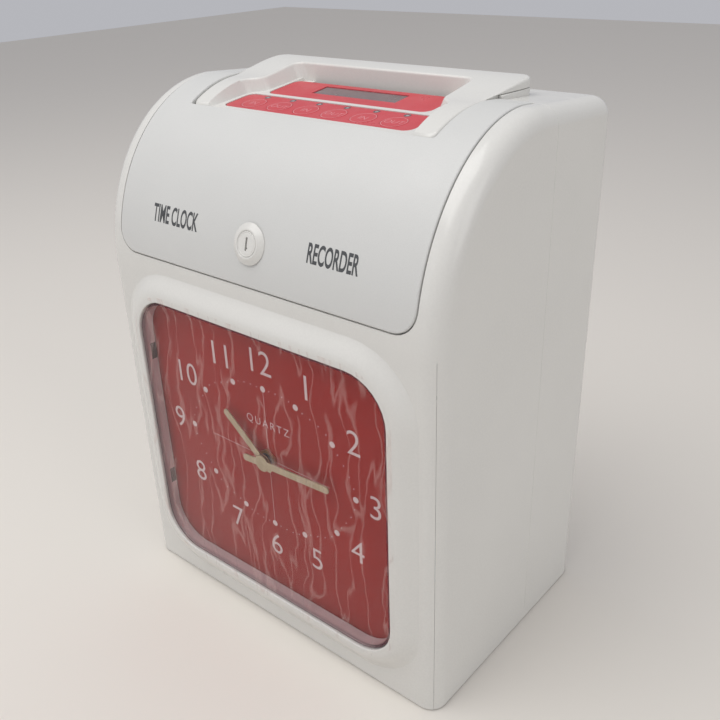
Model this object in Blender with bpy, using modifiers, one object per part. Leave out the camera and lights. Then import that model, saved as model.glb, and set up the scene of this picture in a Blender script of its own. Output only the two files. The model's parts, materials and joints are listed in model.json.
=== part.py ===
"""Punch time clock: a wall or desk time recorder that stamps the hour on a time card.

Millimetre values are multiplied by MM, so every length below is in metres. +X is to the right of
someone facing the dial, +Y runs from the dial to the back and +Z is up. The origin is on the
surface that the feet stand on, below the middle of the whole box.
"""

from math import acos, asin, atan2, cos, degrees, pi, radians, sin, sqrt

import bmesh
import bpy
from mathutils import Matrix, Vector

MM = 0.001
GAP = 0.3 * MM  # between pieces that touch
RUNNING = 0.3 * MM  # round a pin or shaft that turns
PAST = 1 * MM  # how far a cutter or a joined piece runs past a face

# Case
WIDTH = 220 * MM
CASE_DEPTH = 143 * MM  # front face to back face
CASE_HEIGHT = 288 * MM  # top of the arch
REAR_DROP = 4 * MM  # how far the top falls from the arch to the back
ARCH_RISE = 90 * MM
ARCH_RUN = 76.5 * MM
ARCH_STEPS = 12
CASE_LIFT = 0.8 * MM  # bottom edge above the table
WALL = 2.6 * MM
EDGE_RADIUS = 9 * MM
EDGE_STEPS = 3
REAR_RADIUS = EDGE_RADIUS + 1 * MM  # never tighter than the side edges that run into it
PARTING_BACK = 11 * MM  # the shells meet this far behind the arch's highest line

# Window, lens and dial
BEZEL_PROUD = 5.5 * MM
BEZEL_REACH = 14.5 * MM  # how far the swell spreads over the front
WINDOW_SIDE = 24 * MM  # window edge to case side
WINDOW_LOW = 24 * MM
WINDOW_BELOW_LID = 22.5 * MM
WINDOW_RADIUS = 23 * MM
WELL_WALL = 2.2 * MM
DIAL_DEPTH = 9 * MM  # bezel rim to dial face
DIAL_OVERLAP = 3.5 * MM
DIAL_THICK = 0.9 * MM
CARRIER_OVERLAP = 5.5 * MM
CARRIER_THICK = 2.5 * MM
LENS_INSET = 1.3 * MM  # lens face behind the bezel rim
LENS_THICK = 1.4 * MM
LENS_FIT = 0.4 * MM
LENS_SKIRT = 1.2 * MM
CLIP_HEIGHT = 9.6 * MM
CLIP_DEPTH = 3.4 * MM
CLIP_REACH = 2.6 * MM
CLIP_LOWER = 42 * MM  # lower clips above the window's lower edge
CLIP_UPPER = 125.5 * MM

# Clock
HUB_HEIGHT = 85.5 * MM  # hub above the window's lower edge
MOVEMENT_SIDE = 56 * MM
MOVEMENT_DEPTH = 16 * MM
NOZZLE_RADIUS = 4 * MM
NOZZLE_BORE = 2.6 * MM
NUT_RADIUS = 6.5 * MM
NUT_THICK = 1.35 * MM
HAND_THICK = 0.6 * MM
HUB_RADIUS = 4.8 * MM
HOUR_TIP = 35.2 * MM
HOUR_TAIL = 6.5 * MM
HOUR_WIDTH = 4.4 * MM
HOUR_ANGLE = radians(310)
MINUTE_TIP = 47 * MM
MINUTE_TAIL = 14 * MM
MINUTE_WIDTH = 4.2 * MM
MINUTE_ANGLE = radians(86.7)
ARBOR_RADIUS = 0.9 * MM
SLEEVE_WALL = 0.9 * MM

# Lid
LID_SIDE = 12.4 * MM  # lid edge to case side
LID_LOW = 9.5 * MM  # lid's lower edge above the start of the arch
LID_THICK = 2.4 * MM
LID_PROUD = 0.5 * MM
LID_RADIUS = 12 * MM
LID_LINE = 0.7 * MM  # visible gap round the lid
LID_REAR_GAP = 1 * MM
LEDGE_DEPTH = 3 * MM
LEDGE_THICK = 2.5 * MM
LEDGE_WIDTH = 6 * MM
HINGE_AHEAD = 16 * MM  # pin ahead of the lid's rear edge
HINGE_DEPTH = 5.5 * MM
PIN_RADIUS = 1.5 * MM
EAR_RADIUS = 2.8 * MM
LUG_WIDTH = 4 * MM
EAR_WIDTH = 4.4 * MM
LUG_FROM_EDGE = 7.6 * MM
LUG_PLAY = 0.6 * MM  # lug to ear
BRACKET_DROP = 14 * MM  # bracket's foot below the pin
BRACKET_THICK = 2.5 * MM
BRACKET_HALF = 4 * MM
PIN_PROUD = 0.4 * MM
SWING_ROOM = 8 * MM  # the ledge stops this far ahead of the pins

# Lock
LOCK_HEIGHT = 20.5 * MM  # above the lid's lower edge
LOCK_FLANGE = 10 * MM
LOCK_BODY = 8 * MM
LOCK_FACE = 6.9 * MM
PLUG_RADIUS = 6 * MM
LOCK_PROUD = 2.2 * MM
LOCK_LENGTH = 11 * MM
KEYWAY = (1.2 * MM, 6.3 * MM, 6 * MM)
CAM_LENGTH = 24 * MM
CAM_WIDTH = 10 * MM
CAM_THICK = 2.2 * MM
CAM_TIP = 3.5 * MM  # half width of the cam's end
LOCK_EDGE = 1 * MM  # flange's outer edge
NUT_SIZE = (12 * MM, 3.5 * MM)  # lock nut: radius over the corners, thickness
NUT_BELOW = 1.4 * MM  # clear of the lid's hollow inner side
TAIL_RADIUS = 2.5 * MM

# Collar, with the keypad tray, the display and the card slot
COLLAR_TOP = 6 * MM  # above the arch
COLLAR_SIDE_FRONT = 33.5 * MM  # case side to collar side
COLLAR_SIDE_BACK = 30.8 * MM
CAP_SIDE = 28 * MM
COLLAR_FRONT = 33.8 * MM  # ahead of the arch's highest line
COLLAR_BACK = 40.2 * MM
COLLAR_DEEP = 24 * MM
PLINTH = 1 * MM  # plinth top above the arch
CAP_OVERHANG = 2.1 * MM
TRAY_SIDE = 50 * MM  # case side to tray wall
TRAY_JOG = 8 * MM
TRAY_WALL = 3.8 * MM
TRAY_TILT = radians(7.2)
TRAY_RIM = 1 * MM  # rim left between the tray and the collar's front
TRAY_MARGIN = 1.5 * MM  # tray floor beside the strip
TRAY_FLARE = 0.6  # how far the tray's side walls lean out, per height
TRAY_ABOVE = 10 * MM  # tray plane below the arch top, at the tray's front
STRIP_THICK = 1.2 * MM
STRIP_PLAY = 0.4 * MM  # ahead of the strip
TRAY_FLOOR = 2 * MM
KEYPAD_DEEP = 21 * MM
RIDGE = 3.4 * MM
DISPLAY_DEEP = 24 * MM
SLOT_WIDTH = 89 * MM
SLOT_DEEP = 5.3 * MM
KEY_PITCH = 18 * MM
KEY_RADIUS = 6.5 * MM
KEY_BACK = 8.4 * MM  # key centres behind the strip's front edge
KEY_TRAVEL = 0.6 * MM
KEY_HEAD = STRIP_THICK + GAP - KEY_TRAVEL - 0.2 * MM  # a pressed key stops above the tray's floor
STEM_RADIUS = 1.8 * MM
STEM_PLAY = 0.4 * MM
SWITCH_HALF = 3 * MM
SWITCH_DROP = 2.4 * MM  # switch top below the tray's floor
LAMP_DOWN = 0.2 * MM  # lamp tops below the strip
SINK = 0.5 * MM  # how deep a joined piece runs into its board
LED_BACK = 18.4 * MM
LED_RADIUS = 1.5 * MM
BOARD_DEEP = 7 * MM  # board face below the tray plane
BOARD_THICK = 1.6 * MM
LCD_WIDTH = 54 * MM
LCD_DEEP = 12 * MM
LCD_BORDER = 2.5 * MM
LCD_THICK = 4 * MM
LCD_BOARD = (6 * MM, 6 * MM)  # its board: beyond the glass at each side, depth
LCD_BACK = 14 * MM  # LCD centre behind the display panel's front edge

# Printing and card feed
PLATE = 1.5 * MM
PLATE_X = 61.7 * MM  # inner faces of the side plates
MECH_TOP = 28 * MM  # below the arch top
SHAFT_RADIUS = 3 * MM
SCREW_RADIUS = 3.2 * MM
PLATE_AHEAD = 20 * MM  # plates' front edge ahead of the arch's highest line
PLATE_LEG = 3 * MM  # the same, below the shoulder
PLATE_BEHIND = 10 * MM  # plates' rear edge behind the feed shaft
PLATE_SHOULDER = 120 * MM  # below the plates' top
PLATE_CHAMFER = 22 * MM
MOTOR_SHAFT = 2 * MM
TIE_DROP = 17 * MM  # tie plate below the guide shaft
SHAFT_DROP = 44 * MM  # guide shaft below the plates' top
SHAFT_AHEAD = 5.8 * MM  # guide shaft ahead of the arch's highest line
SCREW_BEHIND = 8.2 * MM
CARRIAGE = (16 * MM, 26 * MM, 24.4 * MM)  # half width, depth, height
HEAD_HALF = 14 * MM
NOSE_HALF = 8 * MM
CARD_BACK = 22.9 * MM  # card plane behind the arch's highest line
CHUTE_GAP = 5.5 * MM
CHUTE_THICK = 1 * MM
CHUTE_HALF = 46 * MM
CHUTE_LOW = 140 * MM  # below the plates' top
FEED_DROP = 75 * MM
FEED_ROLLER = 9 * MM
PINCH_ROLLER = 6 * MM
PINCH_SHAFT = 2.5 * MM
ROLLER_HALF = 12 * MM
CARD_THICK = 0.6 * MM
FEED_PULLEY = 12 * MM
MOTOR_PULLEY = 6 * MM
BELT_THICK = 1.2 * MM
BELT_WIDTH = 6 * MM
FLANGE = 1.8 * MM
RIM_THICK = 1 * MM  # pulley flanges
BELT_PLAY = 0.5 * MM
PULLEY_OUT = 7.5 * MM  # pulleys beyond the left plate
MOTOR = 28 * MM
MOTOR_LENGTH = 24 * MM
MOTOR_DROP = 110 * MM
RIBBON_HALF = 50 * MM
RIBBON_ARM = 6 * MM
RIBBON_HEIGHT = 20 * MM
RIBBON_DEEP = 30 * MM
KNOB_RADIUS = 5.5 * MM

# Base, feet and electrics
BASE_THICK = 2 * MM
BASE_Z = 2.8 * MM
FOOT_RADIUS = 8 * MM
FOOT_HEIGHT = 2.5 * MM
FOOT_IN = 18 * MM
SCREW_HEAD = 3.4 * MM
SCREW_SHANK = 1.5 * MM
BOSS_RADIUS = 6 * MM
INLET = (28 * MM, 20 * MM, 18 * MM)  # width, height, depth
INLET_WALL = 2.4 * MM
BOSS_LENGTH = 8 * MM
HEAD_SINK = 5 * MM  # seat of the screws' heads below the back
HEAD_THICK = 2.1 * MM
CROSS_HALF = (2 * MM, 0.4 * MM)
TAB_HALF = 6 * MM
TAB_THICK = 2 * MM
SCREW_IN = 14 * MM  # screws from the case's sides
SCREW_Z = 17 * MM

# Places that follow from the sizes above
FRONT_Y = (BEZEL_PROUD - CASE_DEPTH) / 2
REAR_Y = FRONT_Y + CASE_DEPTH
ARCH_Y = FRONT_Y + ARCH_RUN
ARCH_Z = CASE_HEIGHT - ARCH_RISE
PARTING_Y = ARCH_Y + PARTING_BACK
REAR_TOP = CASE_HEIGHT - REAR_DROP
HALF = WIDTH / 2
LID_HALF = HALF - LID_SIDE
LID_Z = ARCH_Z + LID_LOW
LID_END = PARTING_Y + GAP / 2 - LID_REAR_GAP
RIM_Y = FRONT_Y - BEZEL_PROUD
DIAL_Y = RIM_Y + DIAL_DEPTH
WELL_END = DIAL_Y - GAP
WINDOW_HALF = HALF - WINDOW_SIDE
WINDOW_TOP = LID_Z - WINDOW_BELOW_LID
WINDOW_Z = (WINDOW_LOW + WINDOW_TOP) / 2
WINDOW_TALL = (WINDOW_TOP - WINDOW_LOW) / 2
HUB_Z = WINDOW_LOW + HUB_HEIGHT
CARRIER_Y = DIAL_Y + DIAL_THICK + GAP
MOVEMENT_Y = CARRIER_Y + CARRIER_THICK + GAP
HINGE_Y = LID_END - HINGE_AHEAD
MECH_Z = CASE_HEIGHT - MECH_TOP
CARD_Y = ARCH_Y + CARD_BACK
SHAFT_Z = MECH_Z - SHAFT_DROP
GUIDE_Y = ARCH_Y - SHAFT_AHEAD
LEAD_Y = ARCH_Y + SCREW_BEHIND
FEED_Z = MECH_Z - FEED_DROP
FEED_Y = CARD_Y + CARD_THICK / 2 + FEED_ROLLER
PINCH_Y = CARD_Y - CARD_THICK / 2 - PINCH_ROLLER
MOTOR_Z = MECH_Z - MOTOR_DROP
MOTOR_Y = ARCH_Y + 2 * MM
TRAY_Y = ARCH_Y - COLLAR_FRONT + TRAY_WALL + 1.6 * MM
TRAY_Z = CASE_HEIGHT - TRAY_ABOVE
TRAY_HALF = HALF - TRAY_SIDE
DISPLAY_HALF = TRAY_HALF - TRAY_JOG
DISPLAY_V = KEYPAD_DEEP + RIDGE
LCD_V = DISPLAY_V + LCD_BACK
SLOT_Y = CARD_Y - SLOT_DEEP / 2
KEYS = ("in_1", "out_1", "in_2", "out_2", "in_3", "out_3")


def clear_scene():
    for obj in list(bpy.data.objects):
        bpy.data.objects.remove(obj)


def new_collection(name):
    found = bpy.data.collections.new(name)
    bpy.context.scene.collection.children.link(found)
    return found


def material(name, colour, roughness, metallic=0.0, alpha=1.0):
    made = bpy.data.materials.new(name)
    made.use_nodes = True
    shader = made.node_tree.nodes["Principled BSDF"]
    shader.inputs["Base Color"].default_value = (*colour, 1.0)
    shader.inputs["Roughness"].default_value = roughness
    shader.inputs["Metallic"].default_value = metallic
    shader.inputs["Alpha"].default_value = alpha
    made.diffuse_color = (*colour, alpha)
    return made


# Shapes, each returned as a bmesh


def arc(centre, radius, start, end, steps):
    """Points on an arc in the plane, angles in degrees, both ends included."""
    turns = [radians(start + (end - start) * k / steps) for k in range(steps + 1)]
    return [(centre[0] + radius * cos(t), centre[1] + radius * sin(t)) for t in turns]


def rounded(half_w, half_h, radius, centre=(0.0, 0.0), steps=5):
    """A rectangle with round corners, anticlockwise."""
    w, h = half_w - radius, half_h - radius
    corners = ((w, -h, -90), (w, h, 0), (-w, h, 90), (-w, -h, 180))
    points = []
    for x, y, start in corners:
        points += arc((centre[0] + x, centre[1] + y), radius, start, start + 90, steps)
    return points


def lift(point, axis, along):
    """A plane point placed at a distance along an axis."""
    a, b = point
    return {"X": (along, a, b), "Y": (a, along, b), "Z": (a, b, along)}[axis]


def outward(bm):
    """Turns every face of a closed shape outwards."""
    bmesh.ops.recalc_face_normals(bm, faces=bm.faces[:])
    if bm.calc_volume(signed=True) < 0:
        bmesh.ops.reverse_faces(bm, faces=bm.faces[:])
    return bm


def prism(outline, low, high, axis):
    """A flat outline drawn out along an axis; the outline holds the two other coordinates."""
    bm = bmesh.new()
    face = bm.faces.new([bm.verts.new(lift(p, axis, low)) for p in outline])
    made = bmesh.ops.extrude_face_region(bm, geom=[face])["geom"]
    moved = [g for g in made if isinstance(g, bmesh.types.BMVert)]
    bmesh.ops.translate(bm, verts=moved, vec=lift((0, 0), axis, high - low))
    return outward(bm)


def block(low, high):
    bm = bmesh.new()
    bmesh.ops.create_cube(bm, size=1.0)
    size = Vector(high) - Vector(low)
    bmesh.ops.scale(bm, vec=size, verts=bm.verts)
    bmesh.ops.translate(bm, vec=(Vector(low) + Vector(high)) / 2, verts=bm.verts)
    return bm


def rod(start, end, radius, segments=20):
    """A round bar between two points."""
    start, end = Vector(start), Vector(end)
    bm = bmesh.new()
    along = end - start
    bmesh.ops.create_cone(
        bm, cap_ends=True, segments=segments, radius1=radius, radius2=radius, depth=along.length
    )
    turn = Vector((0, 0, 1)).rotation_difference(along).to_matrix().to_4x4()
    bmesh.ops.transform(bm, matrix=Matrix.Translation((start + end) / 2) @ turn, verts=bm.verts)
    return bm


def skin(loops, ring=False):
    """A solid skinned over loops with the same number of points: a ring, or capped at both ends."""
    bm = bmesh.new()
    rows = [[bm.verts.new(p) for p in loop] for loop in loops]
    pairs = list(zip(rows, rows[1:]))
    if ring:
        pairs.append((rows[-1], rows[0]))
    else:
        bm.faces.new(rows[0])
        bm.faces.new(rows[-1])
    for row, after in pairs:
        for k in range(len(row)):
            n = (k + 1) % len(row)
            bm.faces.new((row[k], row[n], after[n], after[k]))
    return outward(bm)


def slice_off(bm, point, normal):
    """Cuts away what lies on the normal's side of a plane and closes the cut."""
    geometry = bm.verts[:] + bm.edges[:] + bm.faces[:]
    cut = bmesh.ops.bisect_plane(
        bm, geom=geometry, dist=1e-7, plane_co=point, plane_no=normal, clear_outer=True
    )["geom_cut"]
    edges = [g for g in cut if isinstance(g, bmesh.types.BMEdge)]
    bmesh.ops.holes_fill(bm, edges=edges, sides=0)
    return outward(bm)


# Objects


def add(name, bm, finish, parent=None, round_piece=False):
    """Makes one named piece of the clock from a bmesh."""
    mesh = bpy.data.meshes.new(name)
    bm.to_mesh(mesh)
    bm.free()
    obj = bpy.data.objects.new(name, mesh)
    mesh.materials.append(finish)
    if round_piece:
        mesh.shade_smooth()
        mesh.set_sharp_from_angle(angle=radians(35))
    obj.parent = parent
    PARTS.objects.link(obj)
    return obj


def helper(name, bm, parent=None):
    """A cutter or a shape to join, left out of the finished object."""
    mesh = bpy.data.meshes.new(name)
    bm.to_mesh(mesh)
    bm.free()
    obj = bpy.data.objects.new(name, mesh)
    obj.hide_render = True
    obj.display_type = "WIRE"
    obj.parent = parent
    CUTTERS.objects.link(obj)
    return obj


def combine(target, operation, *shapes, frame=None):
    """Joins bmeshes to a piece, cuts them from it, or keeps only what they share.

    The shapes are in the clock's frame, or in that of the empty given as frame."""
    for shape in shapes:
        number = len(target.modifiers) + 1
        other = helper(f"{target.name}_{operation.lower()}_{number}", shape, frame)
        modifier = target.modifiers.new(f"{operation.title()} {number}", "BOOLEAN")
        modifier.operation = operation
        modifier.object = other
    return target


def joint(name, location, rotation=(0, 0, 0)):
    """An empty, mostly on a joint's axis, that pieces are parented to."""
    empty = bpy.data.objects.new(name, None)
    empty.empty_display_size = 10 * MM
    empty.location = location
    empty.rotation_euler = rotation
    PARTS.objects.link(empty)
    return empty


def turned(name, profile, finish, location, axis, parent=None, segments=20, hollow=False):
    """A piece turned from (radius, height) points that run down its outer side."""
    mesh = bpy.data.meshes.new(name)
    points = [(r, 0, h) for r, h in profile]
    edges = [(k, k + 1) for k in range(len(points) - 1)]
    if hollow:
        edges.append((len(points) - 1, 0))
    mesh.from_pydata(points, edges, [])
    mesh.materials.append(finish)
    obj = bpy.data.objects.new(name, mesh)
    obj.location = location
    obj.rotation_euler = {"X": (0, pi / 2, 0), "Y": (pi / 2, 0, 0), "Z": (0, 0, 0)}[axis]
    obj.parent = parent
    PARTS.objects.link(obj)
    screw = obj.modifiers.new("Turn", "SCREW")
    screw.steps = segments
    screw.render_steps = segments
    screw.use_merge_vertices = True
    screw.merge_threshold = 0.00001
    screw.use_smooth_shade = True
    return obj


# The side profile that both shells, the lid and the collar share


def arch_z(y, inset=0.0):
    """Height of the arch over a point ahead of its highest line."""
    share = (ARCH_Y - y) / (ARCH_RUN - inset)
    return ARCH_Z + (ARCH_RISE - inset) * sqrt(max(0.0, 1 - share * share))


def arch_y(z, inset=0.0):
    share = (z - ARCH_Z) / (ARCH_RISE - inset)
    return ARCH_Y - (ARCH_RUN - inset) * sqrt(max(0.0, 1 - share * share))


def arch_points(inset, low_z):
    """From a height on the front, over the arch to its highest line, as (y, z)."""
    start = 0.0
    points = []
    if low_z < ARCH_Z:
        points.append((FRONT_Y + inset, low_z))
    else:
        start = asin((low_z - ARCH_Z) / (ARCH_RISE - inset))
    for k in range(ARCH_STEPS + 1):
        t = start + (pi / 2 - start) * k / ARCH_STEPS
        points.append((ARCH_Y - (ARCH_RUN - inset) * cos(t), ARCH_Z + (ARCH_RISE - inset) * sin(t)))
    return points


def top_z(y, inset=0.0):
    """Height of the nearly flat top behind the arch."""
    return CASE_HEIGHT - inset - REAR_DROP * (y - ARCH_Y) / (REAR_Y - REAR_RADIUS - ARCH_Y)


def case_outline(inset, low_z, low_step=None):
    """The whole side profile as (y, z); low_step gives a smaller inset up to a height."""
    points = arch_points(inset, low_z)
    if low_step is not None:
        thin, height = low_step
        points = [(FRONT_Y + thin, low_z), (FRONT_Y + thin, height)] + arch_points(inset, height)
    corner = (REAR_Y - REAR_RADIUS, REAR_TOP - REAR_RADIUS)
    points += arc(corner, REAR_RADIUS - inset, 90, 0, 4)
    points.append((REAR_Y - inset, low_z))
    return points


def soft_case(inset, low_z):
    """The case profile drawn out to the case's width, with its side edges rounded."""
    radius = EDGE_RADIUS - inset
    flat = HALF - EDGE_RADIUS
    turns = [pi / 2 * k / EDGE_STEPS for k in range(EDGE_STEPS + 1)]
    loops = []
    for side, order in ((-1, turns[::-1]), (1, turns)):
        for t in order:
            x = side * (flat + radius * sin(t))
            outline = case_outline(inset + radius * (1 - cos(t)), low_z)
            loops.append([lift(p, "X", x) for p in outline])
    return skin(loops)


def arch_band(outer, inner, half_width, low_z, radius, end_y):
    """A curved sheet that follows the arch, and the front view of its round lower corners."""
    over = [(end_y, top_z(end_y, outer)), (end_y, top_z(end_y, inner))]
    outline = arch_points(outer, low_z) + over + arch_points(inner, low_z)[::-1]
    front = arc((half_width - radius, low_z + radius), radius, -90, 0, 5)
    front += [(half_width, CASE_HEIGHT * 1.2), (-half_width, CASE_HEIGHT * 1.2)]
    front += arc((radius - half_width, low_z + radius), radius, 180, 270, 5)
    return prism(outline, -half_width, half_width, "X"), prism(front, RIM_Y * 2, REAR_Y, "Y")


def window(outset, low_y, high_y):
    """The window's outline grown by an amount, drawn out along Y."""
    outline = rounded(
        WINDOW_HALF + outset, WINDOW_TALL + outset, WINDOW_RADIUS + outset, (0, WINDOW_Z)
    )
    return prism(outline, low_y, high_y, "Y")


def collar_half(y):
    """Half width of the collar's body, which spreads towards the back as far as the parting."""
    front = ARCH_Y - COLLAR_FRONT
    share = min(1.0, max(0.0, (y - front) / (PARTING_Y - front)))
    return HALF - COLLAR_SIDE_FRONT + (COLLAR_SIDE_FRONT - COLLAR_SIDE_BACK) * share


def collar_plan(grow, low, high):
    """The collar's body seen from above, grown on every side, as a prism along Z."""
    front, back = ARCH_Y - COLLAR_FRONT, ARCH_Y + COLLAR_BACK - CAP_OVERHANG
    right = [
        (collar_half(front) + grow, front - grow),
        (collar_half(PARTING_Y) + grow, PARTING_Y),
        (collar_half(PARTING_Y) + grow, back + grow),
    ]
    left = [(-x, y) for x, y in reversed(right)]
    return prism(right + left, low, high, "Z")


# Pieces


def front_case(finish):
    outer = slice_off(soft_case(0, CASE_LIFT), (0, PARTING_Y - GAP / 2, 0), (0, 1, 0))
    case = add("front_case", outer, finish)
    deep = LEDGE_DEPTH + LEDGE_THICK
    step = (WALL, ARCH_Z + 2 * MM)
    cavity = prism(
        [(y, z) if y < REAR_Y - deep else (REAR_Y, z) for y, z in case_outline(deep, -20 * MM, step)],
        WALL - HALF,
        HALF - WALL,
        "X",
    )
    inner_front = FRONT_Y + WALL - GAP
    footprint = rounded(
        HALF - WALL + GAP,
        CASE_DEPTH,
        EDGE_RADIUS - WALL + GAP,
        (0, inner_front + CASE_DEPTH),
        EDGE_STEPS,
    )
    hollow = helper("case_hollow", cavity)
    combine(hollow, "INTERSECT", prism(footprint, -30 * MM, CASE_HEIGHT * 1.2, "Z"))
    inside = case.modifiers.new("Hollow", "BOOLEAN")
    inside.operation = "DIFFERENCE"
    inside.object = hollow
    sheet, front = arch_band(
        -20 * MM,
        LEDGE_DEPTH,
        LID_HALF + LID_LINE,
        LID_Z - LID_LINE,
        LID_RADIUS + LID_LINE,
        REAR_Y,
    )
    recess = helper("lid_recess", sheet)
    combine(recess, "INTERSECT", front)
    seat = case.modifiers.new("Lid recess", "BOOLEAN")
    seat.operation = "DIFFERENCE"
    seat.object = recess
    clear = LID_HALF + LID_LINE - LEDGE_WIDTH
    opening = block((-clear, RIM_Y * 2, LID_Z + LEDGE_WIDTH), (clear, REAR_Y, CASE_HEIGHT * 1.2))
    wide = LID_HALF + LID_LINE
    swing = block((-wide, HINGE_Y - SWING_ROOM, CASE_HEIGHT / 2), (wide, REAR_Y, CASE_HEIGHT * 1.2))
    combine(case, "DIFFERENCE", opening, swing)
    combine(case, "DIFFERENCE", window(WELL_WALL / 2, RIM_Y * 2, FRONT_Y + 20 * MM))
    section = [
        (0, WELL_END),
        (0, RIM_Y + 0.5 * MM),
        (0.8 * MM, RIM_Y),
        (3.5 * MM, RIM_Y + 0.1 * MM),
        (7.5 * MM, RIM_Y + 1.7 * MM),
        (12 * MM, FRONT_Y - 0.8 * MM),
        (BEZEL_REACH, FRONT_Y + 0.4 * MM),
        (BEZEL_REACH, FRONT_Y + WALL / 2),
        (WELL_WALL, FRONT_Y + WALL / 2),
        (WELL_WALL, WELL_END),
    ]
    loops = []
    for outset, y in section:
        outline = rounded(
            WINDOW_HALF + outset, WINDOW_TALL + outset, WINDOW_RADIUS + outset, (0, WINDOW_Z)
        )
        loops.append([lift(p, "Y", y) for p in outline])
    combine(case, "UNION", skin(loops, ring=True))
    for side in (-1, 1):
        for height in (CLIP_LOWER, CLIP_UPPER):
            z = WINDOW_LOW + height
            low = min(side * (WINDOW_HALF - 1 * MM), side * (WINDOW_HALF + 4 * MM))
            slot = block(
                (low, WELL_END - CLIP_DEPTH, z - CLIP_HEIGHT / 2),
                (low + 5 * MM, WELL_END + 1 * MM, z + CLIP_HEIGHT / 2),
            )
            combine(case, "DIFFERENCE", slot)
    return case


def rear_cover(finish):
    outer = slice_off(soft_case(0, CASE_LIFT), (0, PARTING_Y + GAP / 2, 0), (0, -1, 0))
    cover = add("rear_cover", outer, finish)
    cavity = soft_case(WALL, -10 * MM)
    combine(cover, "DIFFERENCE", cavity)
    cap = HALF - CAP_SIDE
    plinth = block(
        (-cap, PARTING_Y + GAP / 2, REAR_TOP - WALL / 2),
        (cap, ARCH_Y + COLLAR_BACK, CASE_HEIGHT + PLINTH),
    )
    combine(cover, "UNION", plinth)
    combine(cover, "DIFFERENCE", collar_plan(GAP + 0.1 * MM, CASE_HEIGHT / 2, CASE_HEIGHT * 1.2))
    width, height, _ = INLET
    hole = block(
        (INLET_X - width / 2 - GAP, REAR_Y - 2 * WALL, INLET_Z - height / 2 - GAP),
        (INLET_X + width / 2 + GAP, REAR_Y + WALL, INLET_Z + height / 2 + GAP),
    )
    combine(cover, "DIFFERENCE", hole)
    for x in (-SCREW_X, SCREW_X):
        inner = REAR_Y - WALL - BOSS_LENGTH
        boss = rod((x, inner, SCREW_Z), (x, REAR_Y - WALL / 2, SCREW_Z), BOSS_RADIUS, 16)
        combine(cover, "UNION", boss)
        seat_y = REAR_Y - HEAD_SINK
        sink = rod((x, seat_y, SCREW_Z), (x, REAR_Y + PAST, SCREW_Z), SCREW_HEAD + GAP, 16)
        through = rod((x, inner - PAST, SCREW_Z), (x, REAR_Y, SCREW_Z), SCREW_SHANK + GAP, 12)
        combine(cover, "DIFFERENCE", sink, through)
    return cover


def rear_screw(name, x, finish):
    low_y = REAR_Y - HEAD_SINK + GAP
    high_y = low_y + HEAD_THICK
    screw = add(name, rod((x, low_y, SCREW_Z), (x, high_y, SCREW_Z), SCREW_HEAD, 16), finish)
    shank = rod((x, TAB_Y - TAB_THICK, SCREW_Z), (x, low_y + PAST, SCREW_Z), SCREW_SHANK, 12)
    combine(screw, "UNION", shank)
    wide, tall = CROSS_HALF
    cross = block((x - wide, high_y - PAST, SCREW_Z - tall), (x + wide, REAR_Y, SCREW_Z + tall))
    combine(screw, "DIFFERENCE", cross)
    return screw


def base_plate(finish):
    half_w = HALF - WALL - GAP
    half_d = (CASE_DEPTH - 2 * WALL) / 2 - GAP
    outline = rounded(half_w, half_d, EDGE_RADIUS - WALL + GAP, (0, (FRONT_Y + REAR_Y) / 2), 3)
    plate = add("base_plate", prism(outline, BASE_Z, BASE_Z + BASE_THICK, "Z"), finish)
    for x in (-SCREW_X, SCREW_X):
        tab = block(
            (x - TAB_HALF, TAB_Y, BASE_Z + BASE_THICK / 2),
            (x + TAB_HALF, TAB_Y + TAB_THICK, SCREW_Z + TAB_HALF - PAST),
        )
        combine(plate, "UNION", tab)
        end_y = TAB_Y + TAB_THICK + PAST
        hole = rod((x, TAB_Y - PAST, SCREW_Z), (x, end_y, SCREW_Z), SCREW_SHANK + GAP, 12)
        combine(plate, "DIFFERENCE", hole)
    return plate


def front_lid(finish, parent):
    """The lid is modelled in the clock's frame; its parent empty is on the hinge pins' axis."""
    sheet, front = arch_band(-LID_PROUD, LID_THICK - LID_PROUD, LID_HALF, LID_Z, LID_RADIUS, LID_END)
    lid = add("front_lid", sheet, finish)
    combine(lid, "INTERSECT", front)
    combine(lid, "DIFFERENCE", collar_plan(LID_LINE, CASE_HEIGHT / 2, CASE_HEIGHT * 1.2))
    for side in (-1, 1):
        x = side * LUG_X
        lug = block(
            (x - LUG_WIDTH / 2, HINGE_Y - EAR_RADIUS, HINGE_Z - EAR_RADIUS),
            (x + LUG_WIDTH / 2, HINGE_Y + EAR_RADIUS, top_z(HINGE_Y) - LID_THICK / 2),
        )
        combine(lid, "UNION", lug)
        hole = rod(
            (x - LUG_WIDTH, HINGE_Y, HINGE_Z), (x + LUG_WIDTH, HINGE_Y, HINGE_Z), PIN_RADIUS + RUNNING, 16
        )
        combine(lid, "DIFFERENCE", hole)
    reach = LOCK_OUT * 3 * LID_THICK
    bore = rod(LOCK_POINT + reach, LOCK_POINT - reach, LOCK_BODY + GAP, 24)
    combine(lid, "DIFFERENCE", bore)
    lid.parent = parent
    lid.matrix_parent_inverse = parent.matrix_world.inverted()
    return lid


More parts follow.
